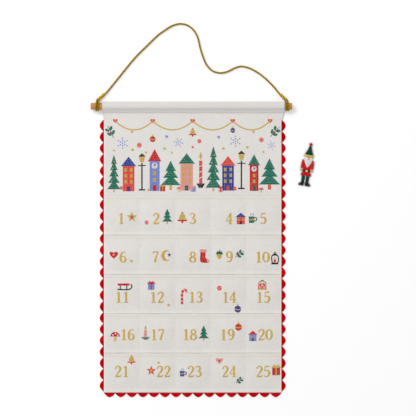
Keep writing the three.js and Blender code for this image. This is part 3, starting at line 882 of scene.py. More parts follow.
def make_strip(row):
    """A strip of cloth for one row of pockets, finer where its hem and its mouth turn."""
    low, high = strip_boxes[row]
    hem_line = high[1] - mouth_hem
    end = high[1] + strip_reach
    rows = np.concatenate([
        np.linspace(low[1] - strip_reach, end, strip_rows),
        hem_line + np.linspace(-hem_fine_reach, hem_fine_reach, hem_fine_rows),
        end - np.array(mouth_fine_steps),
    ])
    x, y = np.meshgrid(np.linspace(-half_width, half_width, strip_columns), np.unique(rows))
    upper = strip_top(row, x, y)
    lower = panel_top_z + pocket_rise(row, x, y)
    near_mouth = smooth(high[1] - waver_height, high[1], y)
    waver = near_mouth * ripples(x, y * 0, waver_wave, 51 + row) * mouth_waver
    top = np.stack([x, y + waver, upper], -1)
    bottom = np.stack([x, y + waver, np.minimum(lower, upper - thinnest_cloth)], -1)
    # Masks of the painted shading: painted shade below the mouth, painted light on the foot and painted
    # shade along the hem stitching.
    marks = {
        "hem": smooth(hem_line - hem_shade_reach[0], hem_line + hem_shade_reach[1], y),
        "turned": 1 - smooth(low[1] + turned_shade_reach[0], low[1] + turned_shade_reach[1], y),
        "seam": dent(y - hem_line, seam_shade_reach),
    }
    strip = shell(f"pocket_strip_{row + 1}", top, bottom, panel_canvas, marks)
    carry(strip, "calendar", "canvas", f"pocket_row_{row + 1}")


def sleeve_profile():
    """The sleeve's outer face in its YZ section: up from the seam in a soft bend, over the dowel,
    loosely down its far side and back underneath."""
    radius = dowel_radius + touch_gap + cloth_thickness
    centre = np.array([dowel_y, dowel_z])
    seam = np.array([seam_y, panel_top_z])
    across, up = seam - centre
    touch = math.atan2(up, across) + 2 * math.pi - math.acos(radius / math.hypot(across, up))
    over = np.linspace(touch - sleeve_lean, math.pi / 2, 16)[:, None]
    crown = centre + radius * np.hstack([np.cos(over), np.sin(over)])
    rising = np.array([math.sin(over[0, 0]), -math.cos(over[0, 0])])
    flank = bend(seam, sleeve_foot_reach, crown[0], rising * sleeve_flank_reach, bend_steps)
    under = np.linspace(math.pi / 2, -math.pi / 2, 26)[1:]
    rise = np.where(under > 0, radius, dowel_z)
    far = np.stack([dowel_y + (radius + sleeve_slack) * np.cos(under), dowel_z + rise * np.sin(under)], 1)
    closed = np.vstack([flank[:-1], crown, far, [[seam_y, 0]], [seam]])
    return evenly(closed, sleeve_sides + 1)[:-1]


def drawn_in(outline, inset):
    """A closed outline moved inwards by a thickness."""
    along = unit(np.roll(outline, -1, axis=0) - np.roll(outline, 1, axis=0))
    inward = np.stack([along[:, 1], -along[:, 0]], 1)
    middle = outline.mean(axis=0)
    inward *= np.sign(((middle - outline) * inward).sum(axis=1).mean())
    return outline + inward * inset


def make_sleeve():
    """The rod sleeve, one cloth folded round the dowel, a little gathered along its length."""
    outer = sleeve_profile()
    clear_y, lowest_z = sleeve_inner_clear
    inner = np.maximum(drawn_in(outer, cloth_thickness), [seam_y + clear_y, lowest_z])
    stations = np.linspace(sleeve_low[0], sleeve_high[0], sleeve_stations)
    count = len(outer)
    share = np.arange(count) / count
    points, doubled = [], []
    for section, grows in ((outer, 1), (inner, 0)):
        away = unit(section - [dowel_y, dowel_z])
        for x in stations:
            gather = sleeve_gather * (ripples(np.full(count, x), share * gather_girth, gather_wave, 71) + 1)
            lift = gather * np.sin(math.pi * np.clip(share * gather_reach_share, 0, 1)) * grows
            y, z = (section + away * lift[:, None]).T
            points.append(np.column_stack([np.full(count, x), y, np.maximum(z, 0)]))
            # Painted light: the steep flank just above the seam gets a lighter tint.
            doubled.append(1 - smooth(seam_y + sleeve_painted_light_start, seam_y + sleeve_painted_light_end, y))
    size = sleeve_stations * count
    faces = ring_faces(sleeve_stations, count, order=(0, 3, 2, 1)) + ring_faces(sleeve_stations, count, size)
    last = size - count
    for k in range(count):
        after = (k + 1) % count
        faces.append([k, after, size + after, size + k])
        faces.append([last + k, size + last + k, size + last + after, last + after])
    # The hem mark here is the painted light on the flank.
    marks = {"hem": np.concatenate(doubled)}
    sleeve = mesh_piece("sleeve_cloth", np.vstack(points), faces, sleeve_canvas_painted_shading, marks=marks)
    carry(sleeve, "calendar", "canvas", "rod_sleeve")


def make_dowel():
    """A turned wooden rod with eased ends."""
    left, right = dowel_low[0], dowel_high[0]
    bevel = dowel_ease * dowel_bevel_share
    end = [
        (0, dowel_face_radius),
        (0, dowel_flat_share * dowel_radius),
        (0, dowel_radius - dowel_ease),
        (bevel, dowel_radius - bevel),
    ]
    profile = [(left + reach, radius) for reach, radius in end]
    body = np.linspace(left + dowel_ease, right - dowel_ease, dowel_stations)
    profile += [(x, dowel_radius) for x in body]
    profile += [(right - reach, radius) for reach, radius in end[::-1]]
    x, radius = np.array(profile).T[:, :, None]
    angle = 2 * math.pi * np.arange(dowel_sides) / dowel_sides
    round_y, round_z = dowel_y + radius * np.cos(angle), dowel_z + radius * np.sin(angle)
    points = np.stack([x + 0 * angle, round_y, round_z], -1).reshape(-1, 3)
    rod = mesh_piece("wooden_dowel", points, closed_tube(len(profile), dowel_sides), wood)
    carry(rod, "dowel", "wood", "dowel")


def make_trim(name, node, start, along, out, lobes, pitch, depth):
    """A run of wide ric-rac, its inner half caught in the seam and its outer waves in sight."""
    foot = touch_gap + trim_foot
    distance = np.linspace(0, lobes * pitch, lobes * trim_steps_per_lobe + 1)
    off = (distance / pitch) % 1 - 0.5
    off[-1] = 0.5
    full = 1 - np.abs(2 * off) ** lobe_fullness
    share = np.concatenate([[-1, -0.5], 0.5 - 0.5 * np.cos(np.linspace(0, math.pi, trim_rings))])
    s, v = np.meshgrid(distance, share)
    caught = np.clip(np.minimum(s, distance[-1] - s), trim_end_tape, tape_width)
    outward = np.where(v < 0, caught, foot + (depth - foot) * full) * v
    crown = rim_share + (1 - rim_share) * smooth(0, rim_rise_share, v)
    round_off = np.sqrt(np.clip(1 - np.maximum(v, 0) ** 3, 0, 1)) * crown
    swelling = smooth(0, tape_swell_reach, outward)
    fuller = notch_fullness_share + (1 - notch_fullness_share) * full
    lobe = lobe_half_thickness * round_off * fuller * swelling
    thick = np.maximum(tape_half_thickness * (1 - swelling) + lobe, trim_thinnest)
    middle = panel_top_z / 2
    uneven = ripples(s, v * 4, trim_wave, lobes) * trim_unevenness * round_off * swelling
    start, along, out = (np.array(v, float) for v in (start, along, out))
    plane = start + s[..., None] * along + outward[..., None] * out
    top = np.concatenate([plane, (middle + thick + uneven)[..., None]], -1)
    lower = middle - np.minimum(thick, middle - trim_thinnest)
    bottom = np.concatenate([plane, lower[..., None]], -1)
    # Painted shade: darker by the seam and in the notches between lobes.
    notch = notch_share * dent((np.abs(off) - 0.5) * pitch, notch_reach)
    shade = np.maximum(1 - smooth(*trim_seam_shade_reach, outward), notch)
    if along[0] * out[1] - along[1] * out[0] < 0:
        top, bottom, shade = top[:, ::-1], bottom[:, ::-1], shade[:, ::-1]
    trim = carry(shell(name, top, bottom, red_satin, {"painted_shade": shade}), "calendar", "red_trim", node)


def make_trims():
    side_pitch = (side_trim_top_y - side_trim_foot_y) / side_lobe_count
    for side, name in ((-1, "left"), (1, "right")):
        make_trim(f"scallops_{name}", f"scallop_trim_{name}", (side * half_width, side_trim_foot_y), (0, 1),
                  (side, 0), side_lobe_count, side_pitch, side_lobe_depth)
    pitch = 2 * bottom_trim_half / bottom_lobe_count
    make_trim("scallops_bottom", "scallop_trim_bottom", (-bottom_trim_half, bottom_y), (1, 0), (0, -1),
              bottom_lobe_count, pitch, bottom_lobe_depth)


make_dowel()
make_panel()
for strip_row in range(len(strip_boxes)):
    make_strip(strip_row)
make_sleeve()
make_trims()


# Needlework, its lengths in millimetres
number_thread = 0.62
pocket_thread = 0.75
header_thread = 0.95
seam_thread = 0.62
thread_radius_share = 0.56
seam_radius_share = 0.42
stitch_crown = 0.45
seam_crown = 0.25
stitch_end_share = 0.46
stitch_swell_share = 0.62
stitch_rings = 4
stitch_sides = 4
stitch_length = 7
header_stitch_length = 8
shortest_stitch = 0.5
finest_half_width = 0.35
running_pitch = 3.2
running_share = 0.65
layer_lift_share = 0.6
brick_shift_share = 0.33
brick_slack_share = 0.3
column_samples = 80


def sew(name, ends, floss, radius, crown):
    """A piece from its stitches, each a four-sided thread that rises to a crown and thins at its
    ends, which are cut square."""
    ends = ends.reshape(-1, 2, 3)
    share = np.linspace(0, 1, stitch_rings)
    line = ends[:, :1] + (ends[:, 1:] - ends[:, :1]) * share[:, None]
    line[..., 2] += crown * np.sin(math.pi * share)
    steps = np.diff(line, axis=1)
    reached = np.cumsum(np.linalg.norm(steps, axis=2), axis=1)
    arch = np.sin(math.pi * np.insert(reached / reached[:, -1:], 0, 0, axis=1))
    steps = unit(steps)
    along = unit(np.concatenate([steps[:, :1], steps[:, 1:] + steps[:, :-1], steps[:, -1:]], 1))
    side = unit(along[..., [1, 0, 2]] * (1, -1, 0))
    up = np.cross(along, side)
    reach = radius * (stitch_end_share + stitch_swell_share * arch)[..., None, None]
    points = line[:, :, None] + np.stack([side, up, -side, -up], 2) * reach
    one = np.array(closed_tube(stitch_rings, stitch_sides))
    start = stitch_rings * stitch_sides * np.arange(len(ends))
    faces = (one + start[:, None, None]).reshape(-1, 4)
    piece = mesh_piece(name, points.reshape(-1, 3), faces.tolist(), floss)
    edges = piece.data.edges
    ends_of = np.zeros(2 * len(edges), int)
    edges.foreach_get("vertices", ends_of)
    first, second = ends_of.reshape(-1, 2).T // stitch_sides
    cut = (first == second) & np.isin(first % stitch_rings, (0, stitch_rings - 1))
    edges.foreach_set("use_edge_sharp", cut)
    return piece


def disc(x, y, radius, tall=1, count=20):
    """A round outline, or an oval one when its height isn't 1 of its width."""
    angle = 2 * math.pi * np.arange(count) / count
    return np.stack([x + radius * np.cos(angle), y + radius * tall * np.sin(angle)], 1)


def block(x, y, half_across, half_up):
    """A rectangle about its middle."""
    right, left, top, foot = x + half_across, x - half_across, y + half_up, y - half_up
    return np.array([(left, foot), (right, foot), (right, top), (left, top)])


def mirrored(*right_side):
    """An outline from its right side, the left side its mirror image."""
    return [*right_side, *[(-x, y) for x, y in right_side[::-1]]]


def star_outline(x, y, radius, inner_share=0.42):
    point = np.arange(10)
    angle = math.pi / 2 + math.pi * point / 5
    reach = radius * np.where(point % 2 == 0, 1, inner_share)
    return np.stack([x + reach * np.cos(angle), y + reach * np.sin(angle)], 1)


class Needle:
    """Stitches by colour, drawn in units of a motif's size at its place on the cloth."""

    def __init__(self, thread, longest=stitch_length):
        self.thread, self.longest = thread, longest
        self.x = self.y = self.turn = self.lift = 0
        self.size = 1
        self.height = top_at
        self.work = {}

    def at(self, x, y, size, turn=0):
        """The same thread at another place, turned by degrees."""
        moved = copy.copy(self)
        moved.x, moved.y, moved.size, moved.turn = x, y, size, math.radians(turn)
        return moved

    def over(self):
        """The same place, for stitches that lie on top of others."""
        upper = copy.copy(self)
        upper.lift += self.thread * layer_lift_share
        return upper

    def placed(self, points):
        x, y = np.asarray(points, float).T
        c, s = math.cos(self.turn), math.sin(self.turn)
        return np.stack([self.x + self.size * (x * c - y * s), self.y + self.size * (x * s + y * c)], 1)

    def keep(self, shade, ends):
        """Notes stitches whose ends are places on the cloth."""
        if len(ends):
            ends = np.asarray(ends, float)
            high = self.height(ends[..., 0], ends[..., 1]) + self.lift
            self.work.setdefault(shade, []).append(np.concatenate([ends, high[..., None]], -1))

    def fill(self, shade, outline, lean=0):
        """Rows of stitches side by side over a shape, long rows split like bricks."""
        ring = self.placed(outline)
        angle = math.radians(lean) + self.turn
        c, s = math.cos(angle), math.sin(angle)
        u, v = (ring @ np.array([(c, -s), (s, c)])).T
        following, next_v = np.roll(u, -1), np.roll(v, -1)
        ends = []
        for row, level in enumerate(np.arange(v.min() + self.thread / 2, v.max(), self.thread)):
            crossed = (v > level) != (next_v > level)
            share = (level - v[crossed]) / (next_v[crossed] - v[crossed])
            hits = np.sort(u[crossed] + share * (following[crossed] - u[crossed]))
            for low, high in zip(hits[::2], hits[1::2]):
                if high - low < shortest_stitch:
                    continue
                parts = max(1, math.ceil((high - low) / self.longest))
                shift = brick_shift_share * (row % 2)
                inner = (np.arange(1, parts) + shift) * (high - low) / (parts + brick_slack_share)
                cuts = [low, *(low + inner), high]
                row_points = [(cut * c - level * s, cut * s + level * c) for cut in cuts]
                ends += zip(row_points, row_points[1:])
        self.keep(shade, ends)

    def column(self, shade, points, half, closed=False):
        """Satin stitches square across a line. half is one half width, or one for each point."""
        line = np.asarray(points, float)
        widths = np.broadcast_to(np.asarray(half, float), (len(line),))
        spine = np.column_stack([line, widths])
        if closed:
            spine = np.vstack([spine, spine[:1]])
        curve = (centripetal if len(spine) > 2 else evenly)(spine, column_samples)
        path = self.placed(curve[:, :2])
        count = max(2, round(length_of(path) / self.thread))
        steps = evenly(np.column_stack([path, curve[:, 2] * self.size]), count)
        along = unit(np.gradient(steps[:, :2], axis=0))
        across = np.stack([-along[:, 1], along[:, 0]], 1) * np.maximum(steps[:, 2:], finest_half_width)
        self.keep(shade, np.stack([steps[:, :2] - across, steps[:, :2] + across], 1))

    def run(self, shade, start, end):
        """Running stitches one after another from place to place."""
        path = np.array([start, end], float)
        count = max(1, round(length_of(path) / running_pitch))
        starts = path[0] + (path[1] - path[0]) * np.arange(count)[:, None] / count
        self.keep(shade, np.stack([starts, starts + (path[1] - path[0]) * running_share / count], 1))

    def sewn(self, prefix, body, radius_share=thread_radius_share, crown=stitch_crown):
        """One piece for each colour used."""
        for shade, ends in self.work.items():
            radius = self.thread * radius_share
            piece = sew(f"{prefix}_{shade}", np.concatenate(ends), threads[shade], radius, crown)
            carry(piece, body, thread_slots.get(shade))


# Numerals, as strokes of x, y and half width in units of their height
digit_strokes = {
    "0": [[(0.31, 0.95, 0.03), (0.12, 0.8, 0.065), (0.07, 0.5, 0.085), (0.12, 0.2, 0.065),
           (0.31, 0.05, 0.03), (0.5, 0.2, 0.065), (0.55, 0.5, 0.085), (0.5, 0.8, 0.065),
           (0.31, 0.95, 0.03)]],
    "1": [[(0.33, 0.04, 0.078), (0.33, 0.96, 0.078)], [(0.14, 0.83, 0.03), (0.33, 0.94, 0.03)],
          [(0.14, 0.03, 0.03), (0.52, 0.03, 0.03)]],
    "2": [[(0.08, 0.72, 0.06), (0.14, 0.88, 0.045), (0.3, 0.96, 0.04), (0.46, 0.87, 0.07),
           (0.5, 0.7, 0.085), (0.41, 0.5, 0.07), (0.24, 0.28, 0.05), (0.09, 0.09, 0.035)],
          [(0.07, 0.06, 0.06), (0.3, 0.05, 0.065), (0.52, 0.06, 0.05)],
          [(0.53, 0.08, 0.03), (0.56, 0.23, 0.02)]],
    "3": [[(0.09, 0.82, 0.05), (0.2, 0.94, 0.035), (0.34, 0.95, 0.05), (0.46, 0.79, 0.08),
           (0.39, 0.61, 0.05), (0.22, 0.53, 0.03)],
          [(0.24, 0.53, 0.03), (0.43, 0.46, 0.06), (0.52, 0.27, 0.085), (0.42, 0.09, 0.06),
           (0.25, 0.03, 0.035), (0.08, 0.13, 0.055)]],
    "4": [[(0.4, 0.97, 0.03), (0.22, 0.64, 0.035), (0.04, 0.31, 0.03)],
          [(0.03, 0.28, 0.035), (0.58, 0.28, 0.035)], [(0.41, 0.97, 0.075), (0.41, 0.04, 0.075)],
          [(0.26, 0.02, 0.025), (0.56, 0.02, 0.025)]],
    "5": [[(0.13, 0.93, 0.05), (0.5, 0.95, 0.055)], [(0.13, 0.93, 0.03), (0.11, 0.54, 0.03)],
          [(0.11, 0.54, 0.035), (0.28, 0.61, 0.04), (0.46, 0.52, 0.075), (0.51, 0.32, 0.085),
           (0.42, 0.1, 0.06), (0.25, 0.03, 0.035), (0.07, 0.12, 0.055)]],
    "6": [[(0.49, 0.86, 0.05), (0.34, 0.95, 0.035), (0.17, 0.82, 0.06), (0.08, 0.55, 0.08),
           (0.09, 0.29, 0.085), (0.17, 0.09, 0.06), (0.31, 0.03, 0.035), (0.46, 0.12, 0.07),
           (0.52, 0.3, 0.08), (0.45, 0.5, 0.05), (0.31, 0.57, 0.035), (0.14, 0.46, 0.04)]],
    "7": [[(0.06, 0.93, 0.05), (0.56, 0.94, 0.05)], [(0.07, 0.93, 0.03), (0.05, 0.76, 0.02)],
          [(0.53, 0.92, 0.04), (0.4, 0.6, 0.06), (0.29, 0.3, 0.078), (0.25, 0.03, 0.08)]],
    "8": [[(0.31, 0.95, 0.035), (0.14, 0.85, 0.06), (0.14, 0.65, 0.06), (0.31, 0.54, 0.04),
           (0.48, 0.65, 0.06), (0.48, 0.85, 0.06), (0.31, 0.95, 0.035)],
          [(0.31, 0.53, 0.04), (0.1, 0.4, 0.075), (0.1, 0.15, 0.075), (0.31, 0.03, 0.035),
           (0.52, 0.15, 0.075), (0.52, 0.4, 0.075), (0.31, 0.53, 0.04)]],
}
digit_strokes["9"] = [[(0.62 - x, 1 - y, half) for x, y, half in stroke] for stroke in digit_strokes["6"]]
digit_advance = 0.66
stroke_weight = 1.28


def number(needle, value):
    """A plain number in satin stitch, its middle at the needle's place."""
    text = str(value)
    start = -digit_advance * len(text) / 2
    for place, digit in enumerate(text):
        for stroke in digit_strokes[digit]:
            points = [(start + digit_advance * place + x, y - 0.5) for x, y, _ in stroke]
            needle.column("gold", points, [half * stroke_weight for _, _, half in stroke])


# Motifs, drawn in shares of a square from -0.5 to 0.5
def bell(n, main, second):
    n.fill(main, mirrored((0.42, -0.26), (0.3, -0.08), (0.25, 0.2), (0.12, 0.36)))
    n.over().column(second, [(-0.4, -0.24), (0.4, -0.24)], 0.06)
    n.fill(second, disc(0, -0.38, 0.1))
    n.column(second, disc(0, 0.43, 0.07), 0.025, closed=True)


def bauble(n, main, second):
    n.fill(main, disc(0, -0.08, 0.37), 20)
    n.over().column(second, [(-0.34, -0.05), (0, -0.14), (0.34, -0.05)], 0.07)
    n.fill("gold", block(0, 0.34, 0.09, 0.06))
    n.column("gold", disc(0, 0.45, 0.055), 0.02, closed=True)


def candle(n, main, second):
    n.fill(main, block(0, -0.08, 0.1, 0.27), 90)
    for y, reach, half in ((-0.36, 0.26, 0.05), (-0.45, 0.14, 0.04)):
        n.column(second, [(-reach, y), (reach, y)], half)
    n.fill("gold", mirrored((0.05, 0.21), (0.09, 0.32), (0, 0.5)))


def stocking(n, main, second):
    n.fill(main, [(-0.2, 0.28), (0.16, 0.28), (0.14, -0.1), (0.36, -0.24), (0.38, -0.4), (0.28, -0.46),
                  (-0.16, -0.42), (-0.24, -0.26)])
    n.fill(second, block(-0.02, 0.38, 0.23, 0.1), 90)
    n.over().fill(second, [(0.22, -0.17), (0.38, -0.26), (0.39, -0.4), (0.26, -0.45)])


def gift(n, main, second):
    n.fill(main, block(0, -0.12, 0.36, 0.34))
    over = n.over()
    over.column(second, [(0, -0.46), (0, 0.2)], 0.07)
    over.fill(second, block(0, 0.24, 0.4, 0.07), 90)
    for side in (-1, 1):
        n.column(second, [(0, 0.3), (0.2 * side, 0.46), (0.24 * side, 0.34), (0, 0.3)], 0.035)


def fir(n, main, second):
    for top, half in ((0.5, 0.18), (0.27, 0.26), (0.02, 0.34)):
        n.fill(main, mirrored((half, top - 0.36), (half * 0.55, top - 0.2), (0, top)), 90)
    n.fill(second, block(0, -0.42, 0.05, 0.08))


def cottage(n, main, second):
    n.fill(main, block(0, -0.18, 0.32, 0.28))
    n.fill(second, mirrored((0.42, 0.1), (0, 0.46)), 90)
    over = n.over()
    for x in (-0.17, 0.17):
        over.fill("gold", block(x, -0.08, 0.07, 0.08), 90)
    over.fill("black", block(0, -0.34, 0.07, 0.12), 90)


def lantern(n, main, second):
    n.column(main, block(0, -0.08, 0.22, 0.28), 0.045, closed=True)
    n.fill(main, mirrored((0.28, 0.22), (0.08, 0.38)))
    n.fill(main, block(0, -0.42, 0.28, 0.06))
    n.column(main, disc(0, 0.43, 0.06), 0.025, closed=True)
    n.fill(second, block(0, -0.2, 0.08, 0.12), 90)
    n.fill("gold", mirrored((0, -0.07), (0.07, -0.01), (0, 0.12)), 90)


def star(n, main, second):
    n.fill(main, star_outline(0, 0, 0.46), 30)
    n.over().fill(second, disc(0, 0, 0.12))


def small_star(n, main, _):
    n.fill(main, star_outline(0, 0, 0.5, 0.5), 30)


def heart(n, main, second):
    t = np.linspace(0, 2 * math.pi, 28)[:-1]
    up = 0.03 + 0.34 * np.cos(t) - 0.13 * np.cos(2 * t) - 0.05 * np.cos(3 * t)
    n.fill(main, np.stack([0.44 * np.sin(t) ** 3, up], 1), 45)
    n.over().fill(second, disc(0, 0.02, 0.12))


def moon(n, main, second):
    outer = [(0.4 * math.cos(t), 0.44 * math.sin(t)) for t in np.linspace(0.9, 5.38, 20)]
    inner = [(0.14 + 0.28 * math.cos(t), 0.34 * math.sin(t)) for t in np.linspace(5.2, 1.08, 16)]
    n.fill(main, outer + inner, 90)
    n.fill(second, star_outline(0.24, 0.06, 0.18), 20)


def cane(n, main, second):
    crook = [(-0.08, -0.5), (-0.08, -0.1), (-0.08, 0.2), (0.02, 0.42), (0.16, 0.42), (0.22, 0.24)]
    curve = centripetal(crook, 61)
    for k in range(0, 60, 6):
        n.column(second if k % 12 else main, curve[k:k + 7], 0.085)


def mug(n, main, second):
    n.fill(main, [(-0.32, 0.18), (0.2, 0.18), (0.16, -0.4), (-0.28, -0.4)])
    n.column(main, [(0.2, 0.08), (0.38, 0.04), (0.38, -0.16), (0.18, -0.24)], 0.05)
    n.over().column(second, [(-0.3, -0.1), (0.18, -0.1)], 0.07)
    for x in (-0.14, 0.06):
        n.column("periwinkle", [(x, 0.26), (x + 0.06, 0.35), (x - 0.02, 0.46)], 0.03)


def drum(n, main, second):
    n.fill(main, block(0, -0.08, 0.36, 0.24), 90)
    over = n.over()
    for y in (0.17, -0.33):
        over.column("gold", [(-0.38, y), (0.38, y)], 0.055)
    zigzag = [(-0.34, 0.12), (-0.17, -0.28), (0, 0.12), (0.17, -0.28), (0.34, 0.12)]
    for ends in zip(zigzag, zigzag[1:]):
        over.column(second, ends, 0.028)
    for side in (-1, 1):
        n.column("black", [(0.3 * side, 0.28), (-0.12 * side, 0.46)], 0.028)


def toadstool(n, main, second):
    n.fill(second, mirrored((0.16, -0.42), (0.12, 0)))
    n.fill(main, mirrored((0.44, 0), (0.36, 0.22), (0.18, 0.4)), 90)
    for x, y in ((-0.2, 0.14), (0.04, 0.27), (0.24, 0.1)):
        n.over().fill("white", disc(x, y, 0.075))


def acorn(n, main, second):
    n.fill(main, mirrored((0, -0.44), (0.2, -0.2), (0.26, 0.08)), 90)
    n.over().fill(second, mirrored((0.32, 0.06), (0.22, 0.3)))
    n.column(second, [(0, 0.3), (0.06, 0.46)], 0.04)


def sledge(n, main, second):
    n.column(main, [(-0.42, 0.12), (0.3, 0.12)], 0.07)
    n.column(second, [(-0.44, -0.18), (0.3, -0.18), (0.46, -0.04), (0.4, 0.14)], 0.04)
    for x in (-0.26, 0.14):
        n.column(second, [(x, 0.06), (x, -0.16)], 0.035)


def twig(n, main, second):
    n.column("black", [(-0.4, -0.3), (0, -0.02), (0.42, 0.3)], 0.022)
    for x, y, turn in ((-0.2, 0.06, 70), (0.08, 0.28, 75), (0, -0.22, -10), (0.28, 0.02, -5)):
        c, s = math.cos(math.radians(turn)), math.sin(math.radians(turn))
        n.fill(main, disc(0, 0, 0.2, 0.55, 12) @ np.array([(c, s), (-s, c)]) + (x, y), turn)
    n.over().fill(second, disc(-0.06, -0.04, 0.08))


def ball(n, main, second):
    n.fill(main, disc(0, 0, 0.46), 15)
    n.over().column(second, disc(0, 0, 0.2), 0.07, closed=True)


def slim_fir(n, main, second):
    """A narrow tree in five tiers with a few baubles."""
    for tier in range(5):
        top, half = 0.5 - 0.17 * tier, 0.075 + 0.026 * tier
        n.fill(main, mirrored((half, top - 0.25), (0, top)), 90)
    n.fill(second, block(0, -0.47, 0.022, 0.04))
    for tier in range(4):
        n.over().fill(second, disc((-1) ** tier * (0.02 + 0.014 * tier), 0.3 - 0.17 * tier, 0.018))


def town_house(n, main, second):
    """A narrow gabled house with three rows of lit windows."""
    n.fill(main, block(0, -0.14, 0.17, 0.36))
    n.fill(second, mirrored((0.22, 0.22), (0, 0.5)), 90)
    over = n.over()
    for y in (0.11, -0.06, -0.23):
        for x in (-0.08, 0.08):
            over.fill("gold", block(x, y, 0.035, 0.05), 90)
    over.fill(second, block(0, -0.43, 0.045, 0.07), 90)


def street_lamp(n, main, second):
    n.column(main, [(0, -0.48), (0, 0.24)], 0.02)
    for y, reach, half in ((-0.48, 0.08, 0.02), (0.17, 0.1, 0.014)):
        n.column(main, [(-reach, y), (reach, y)], half)
    n.fill(second, mirrored((0.05, 0.26), (0.08, 0.41)), 90)
    n.fill(main, mirrored((0.1, 0.41), (0, 0.5)))


def clock_tower(n, main, second):
    n.fill(main, block(0, -0.14, 0.12, 0.36))
    n.fill(second, mirrored((0.16, 0.2), (0, 0.5)), 90)
    over = n.over()
    over.fill("white", disc(0, 0.1, 0.075))
    over.over().column("black", [(0.03, 0.12), (0, 0.1), (0, 0.15)], 0.008)
    for y in (-0.08, -0.24):
        over.fill("gold", block(0, y, 0.035, 0.05), 90)
    over.fill(second, block(0, -0.43, 0.04, 0.07), 90)


def tall_candle(n, main, second):
    n.fill(main, block(0, -0.06, 0.045, 0.32), 90)
    for y in (0.1, -0.06, -0.22):
        n.over().column(second, [(-0.05, y - 0.02), (0.05, y + 0.03)], 0.014)
    n.fill("gold", mirrored((0, 0.28), (0.05, 0.37), (0, 0.5)))
    n.fill("black", mirrored((0.05, -0.5), (0.12, -0.38)))


def snow_burst(n, main, second):
    for arm in range(6):
        angle = math.pi * (arm / 3 + 0.17)
        for reach in (0.22, 0.44):
            n.fill(main, disc(reach * math.cos(angle), reach * math.sin(angle), 0.062))
    n.fill(second, disc(0, 0, 0.06))


# Pocket work: each number's shift in its pocket, then each motif with its colours, place and size
pocket_work = [
    (0, (star, "gold", "coral", 31, 4, 36)),
    (0, (fir, "green", "gold", 32, 6, 46), (ball, "pink", "coral", -30, -12, 15)),
    (0, (bell, "gold", "red", -32, 2, 34)),
    (0, (cottage, "coral", "blue", 34, 0, 38)),
    (0, (mug, "green", "gold", -34, 0, 34)),
    (6, (heart, "red", "pink", -29, 6, 30), (small_star, "gold", "gold", 24, -12, 12)),
    (-2, (moon, "gold", "blue", 31, 4, 38)),
    (0, (stocking, "red", "pink", 31, 2, 44)),
    (0, (acorn, "gold", "green", -30, 6, 34), (twig, "green", "red", 30, 8, 30)),
    (-3, (lantern, "black", "red", 37, -4, 38)),
    (3, (sledge, "red", "black", 6, 32, 48)),
    (2, (gift, "periwinkle", "red", -18, 35, 28), (small_star, "gold", "gold", 34, -24, 12)),
    (9, (cane, "red", "pink", -38, 2, 46)),
    (0, (bauble, "blue", "pink", 25, -34, 28), (ball, "coral", "pink", -30, 27, 16)),
    (0, (drum, "coral", "white", -4, 35, 34)),
    (19, (toadstool, "red", "cream", -38, -6, 34)),
    (4, (candle, "pink", "green", -37, 6, 44)),
    (-9, (fir, "green", "gold", 41, 4, 46)),
    (-6, (bauble, "red", "gold", 33, 24, 28)),
    (6, (cottage, "periwinkle", "red", -38, -4, 34)),
    (2, (bell, "gold", "coral", 28, 34, 28)),
    (22, (star, "coral", "gold", -38, 2, 34), (small_star, "gold", "gold", -16, 26, 11)),
    (6, (mug, "blue", "gold", -37, -4, 28)),
    (0, (heart, "pink", "red", -30, 31, 26), (twig, "green", "red", 30, -28, 26)),
    (0, (gift, "red", "gold", 38, 4, 34)),
]
number_height = 33.7
row_number_y = [86.6, -28.6, -148.9, -260.8, -370.9]
column_number_x = [-213, -108, 1, 110, 212]


def make_pocket_work():
    numbers, motifs = Needle(number_thread), Needle(pocket_thread)
    for index, (shift, *pictures) in enumerate(pocket_work):
        row, column = divmod(index, pocket_count)
        x, y = column_number_x[column] + shift, row_number_y[row]
        number(numbers.at(x, y, number_height), index + 1)
        for motif, main, second, across, up, size in pictures:
            motif(motifs.at(x + across, y + up, size), main, second)
    numbers.sewn("number_stitches", "calendar")
    motifs.sewn("pocket_stitches", "calendar")


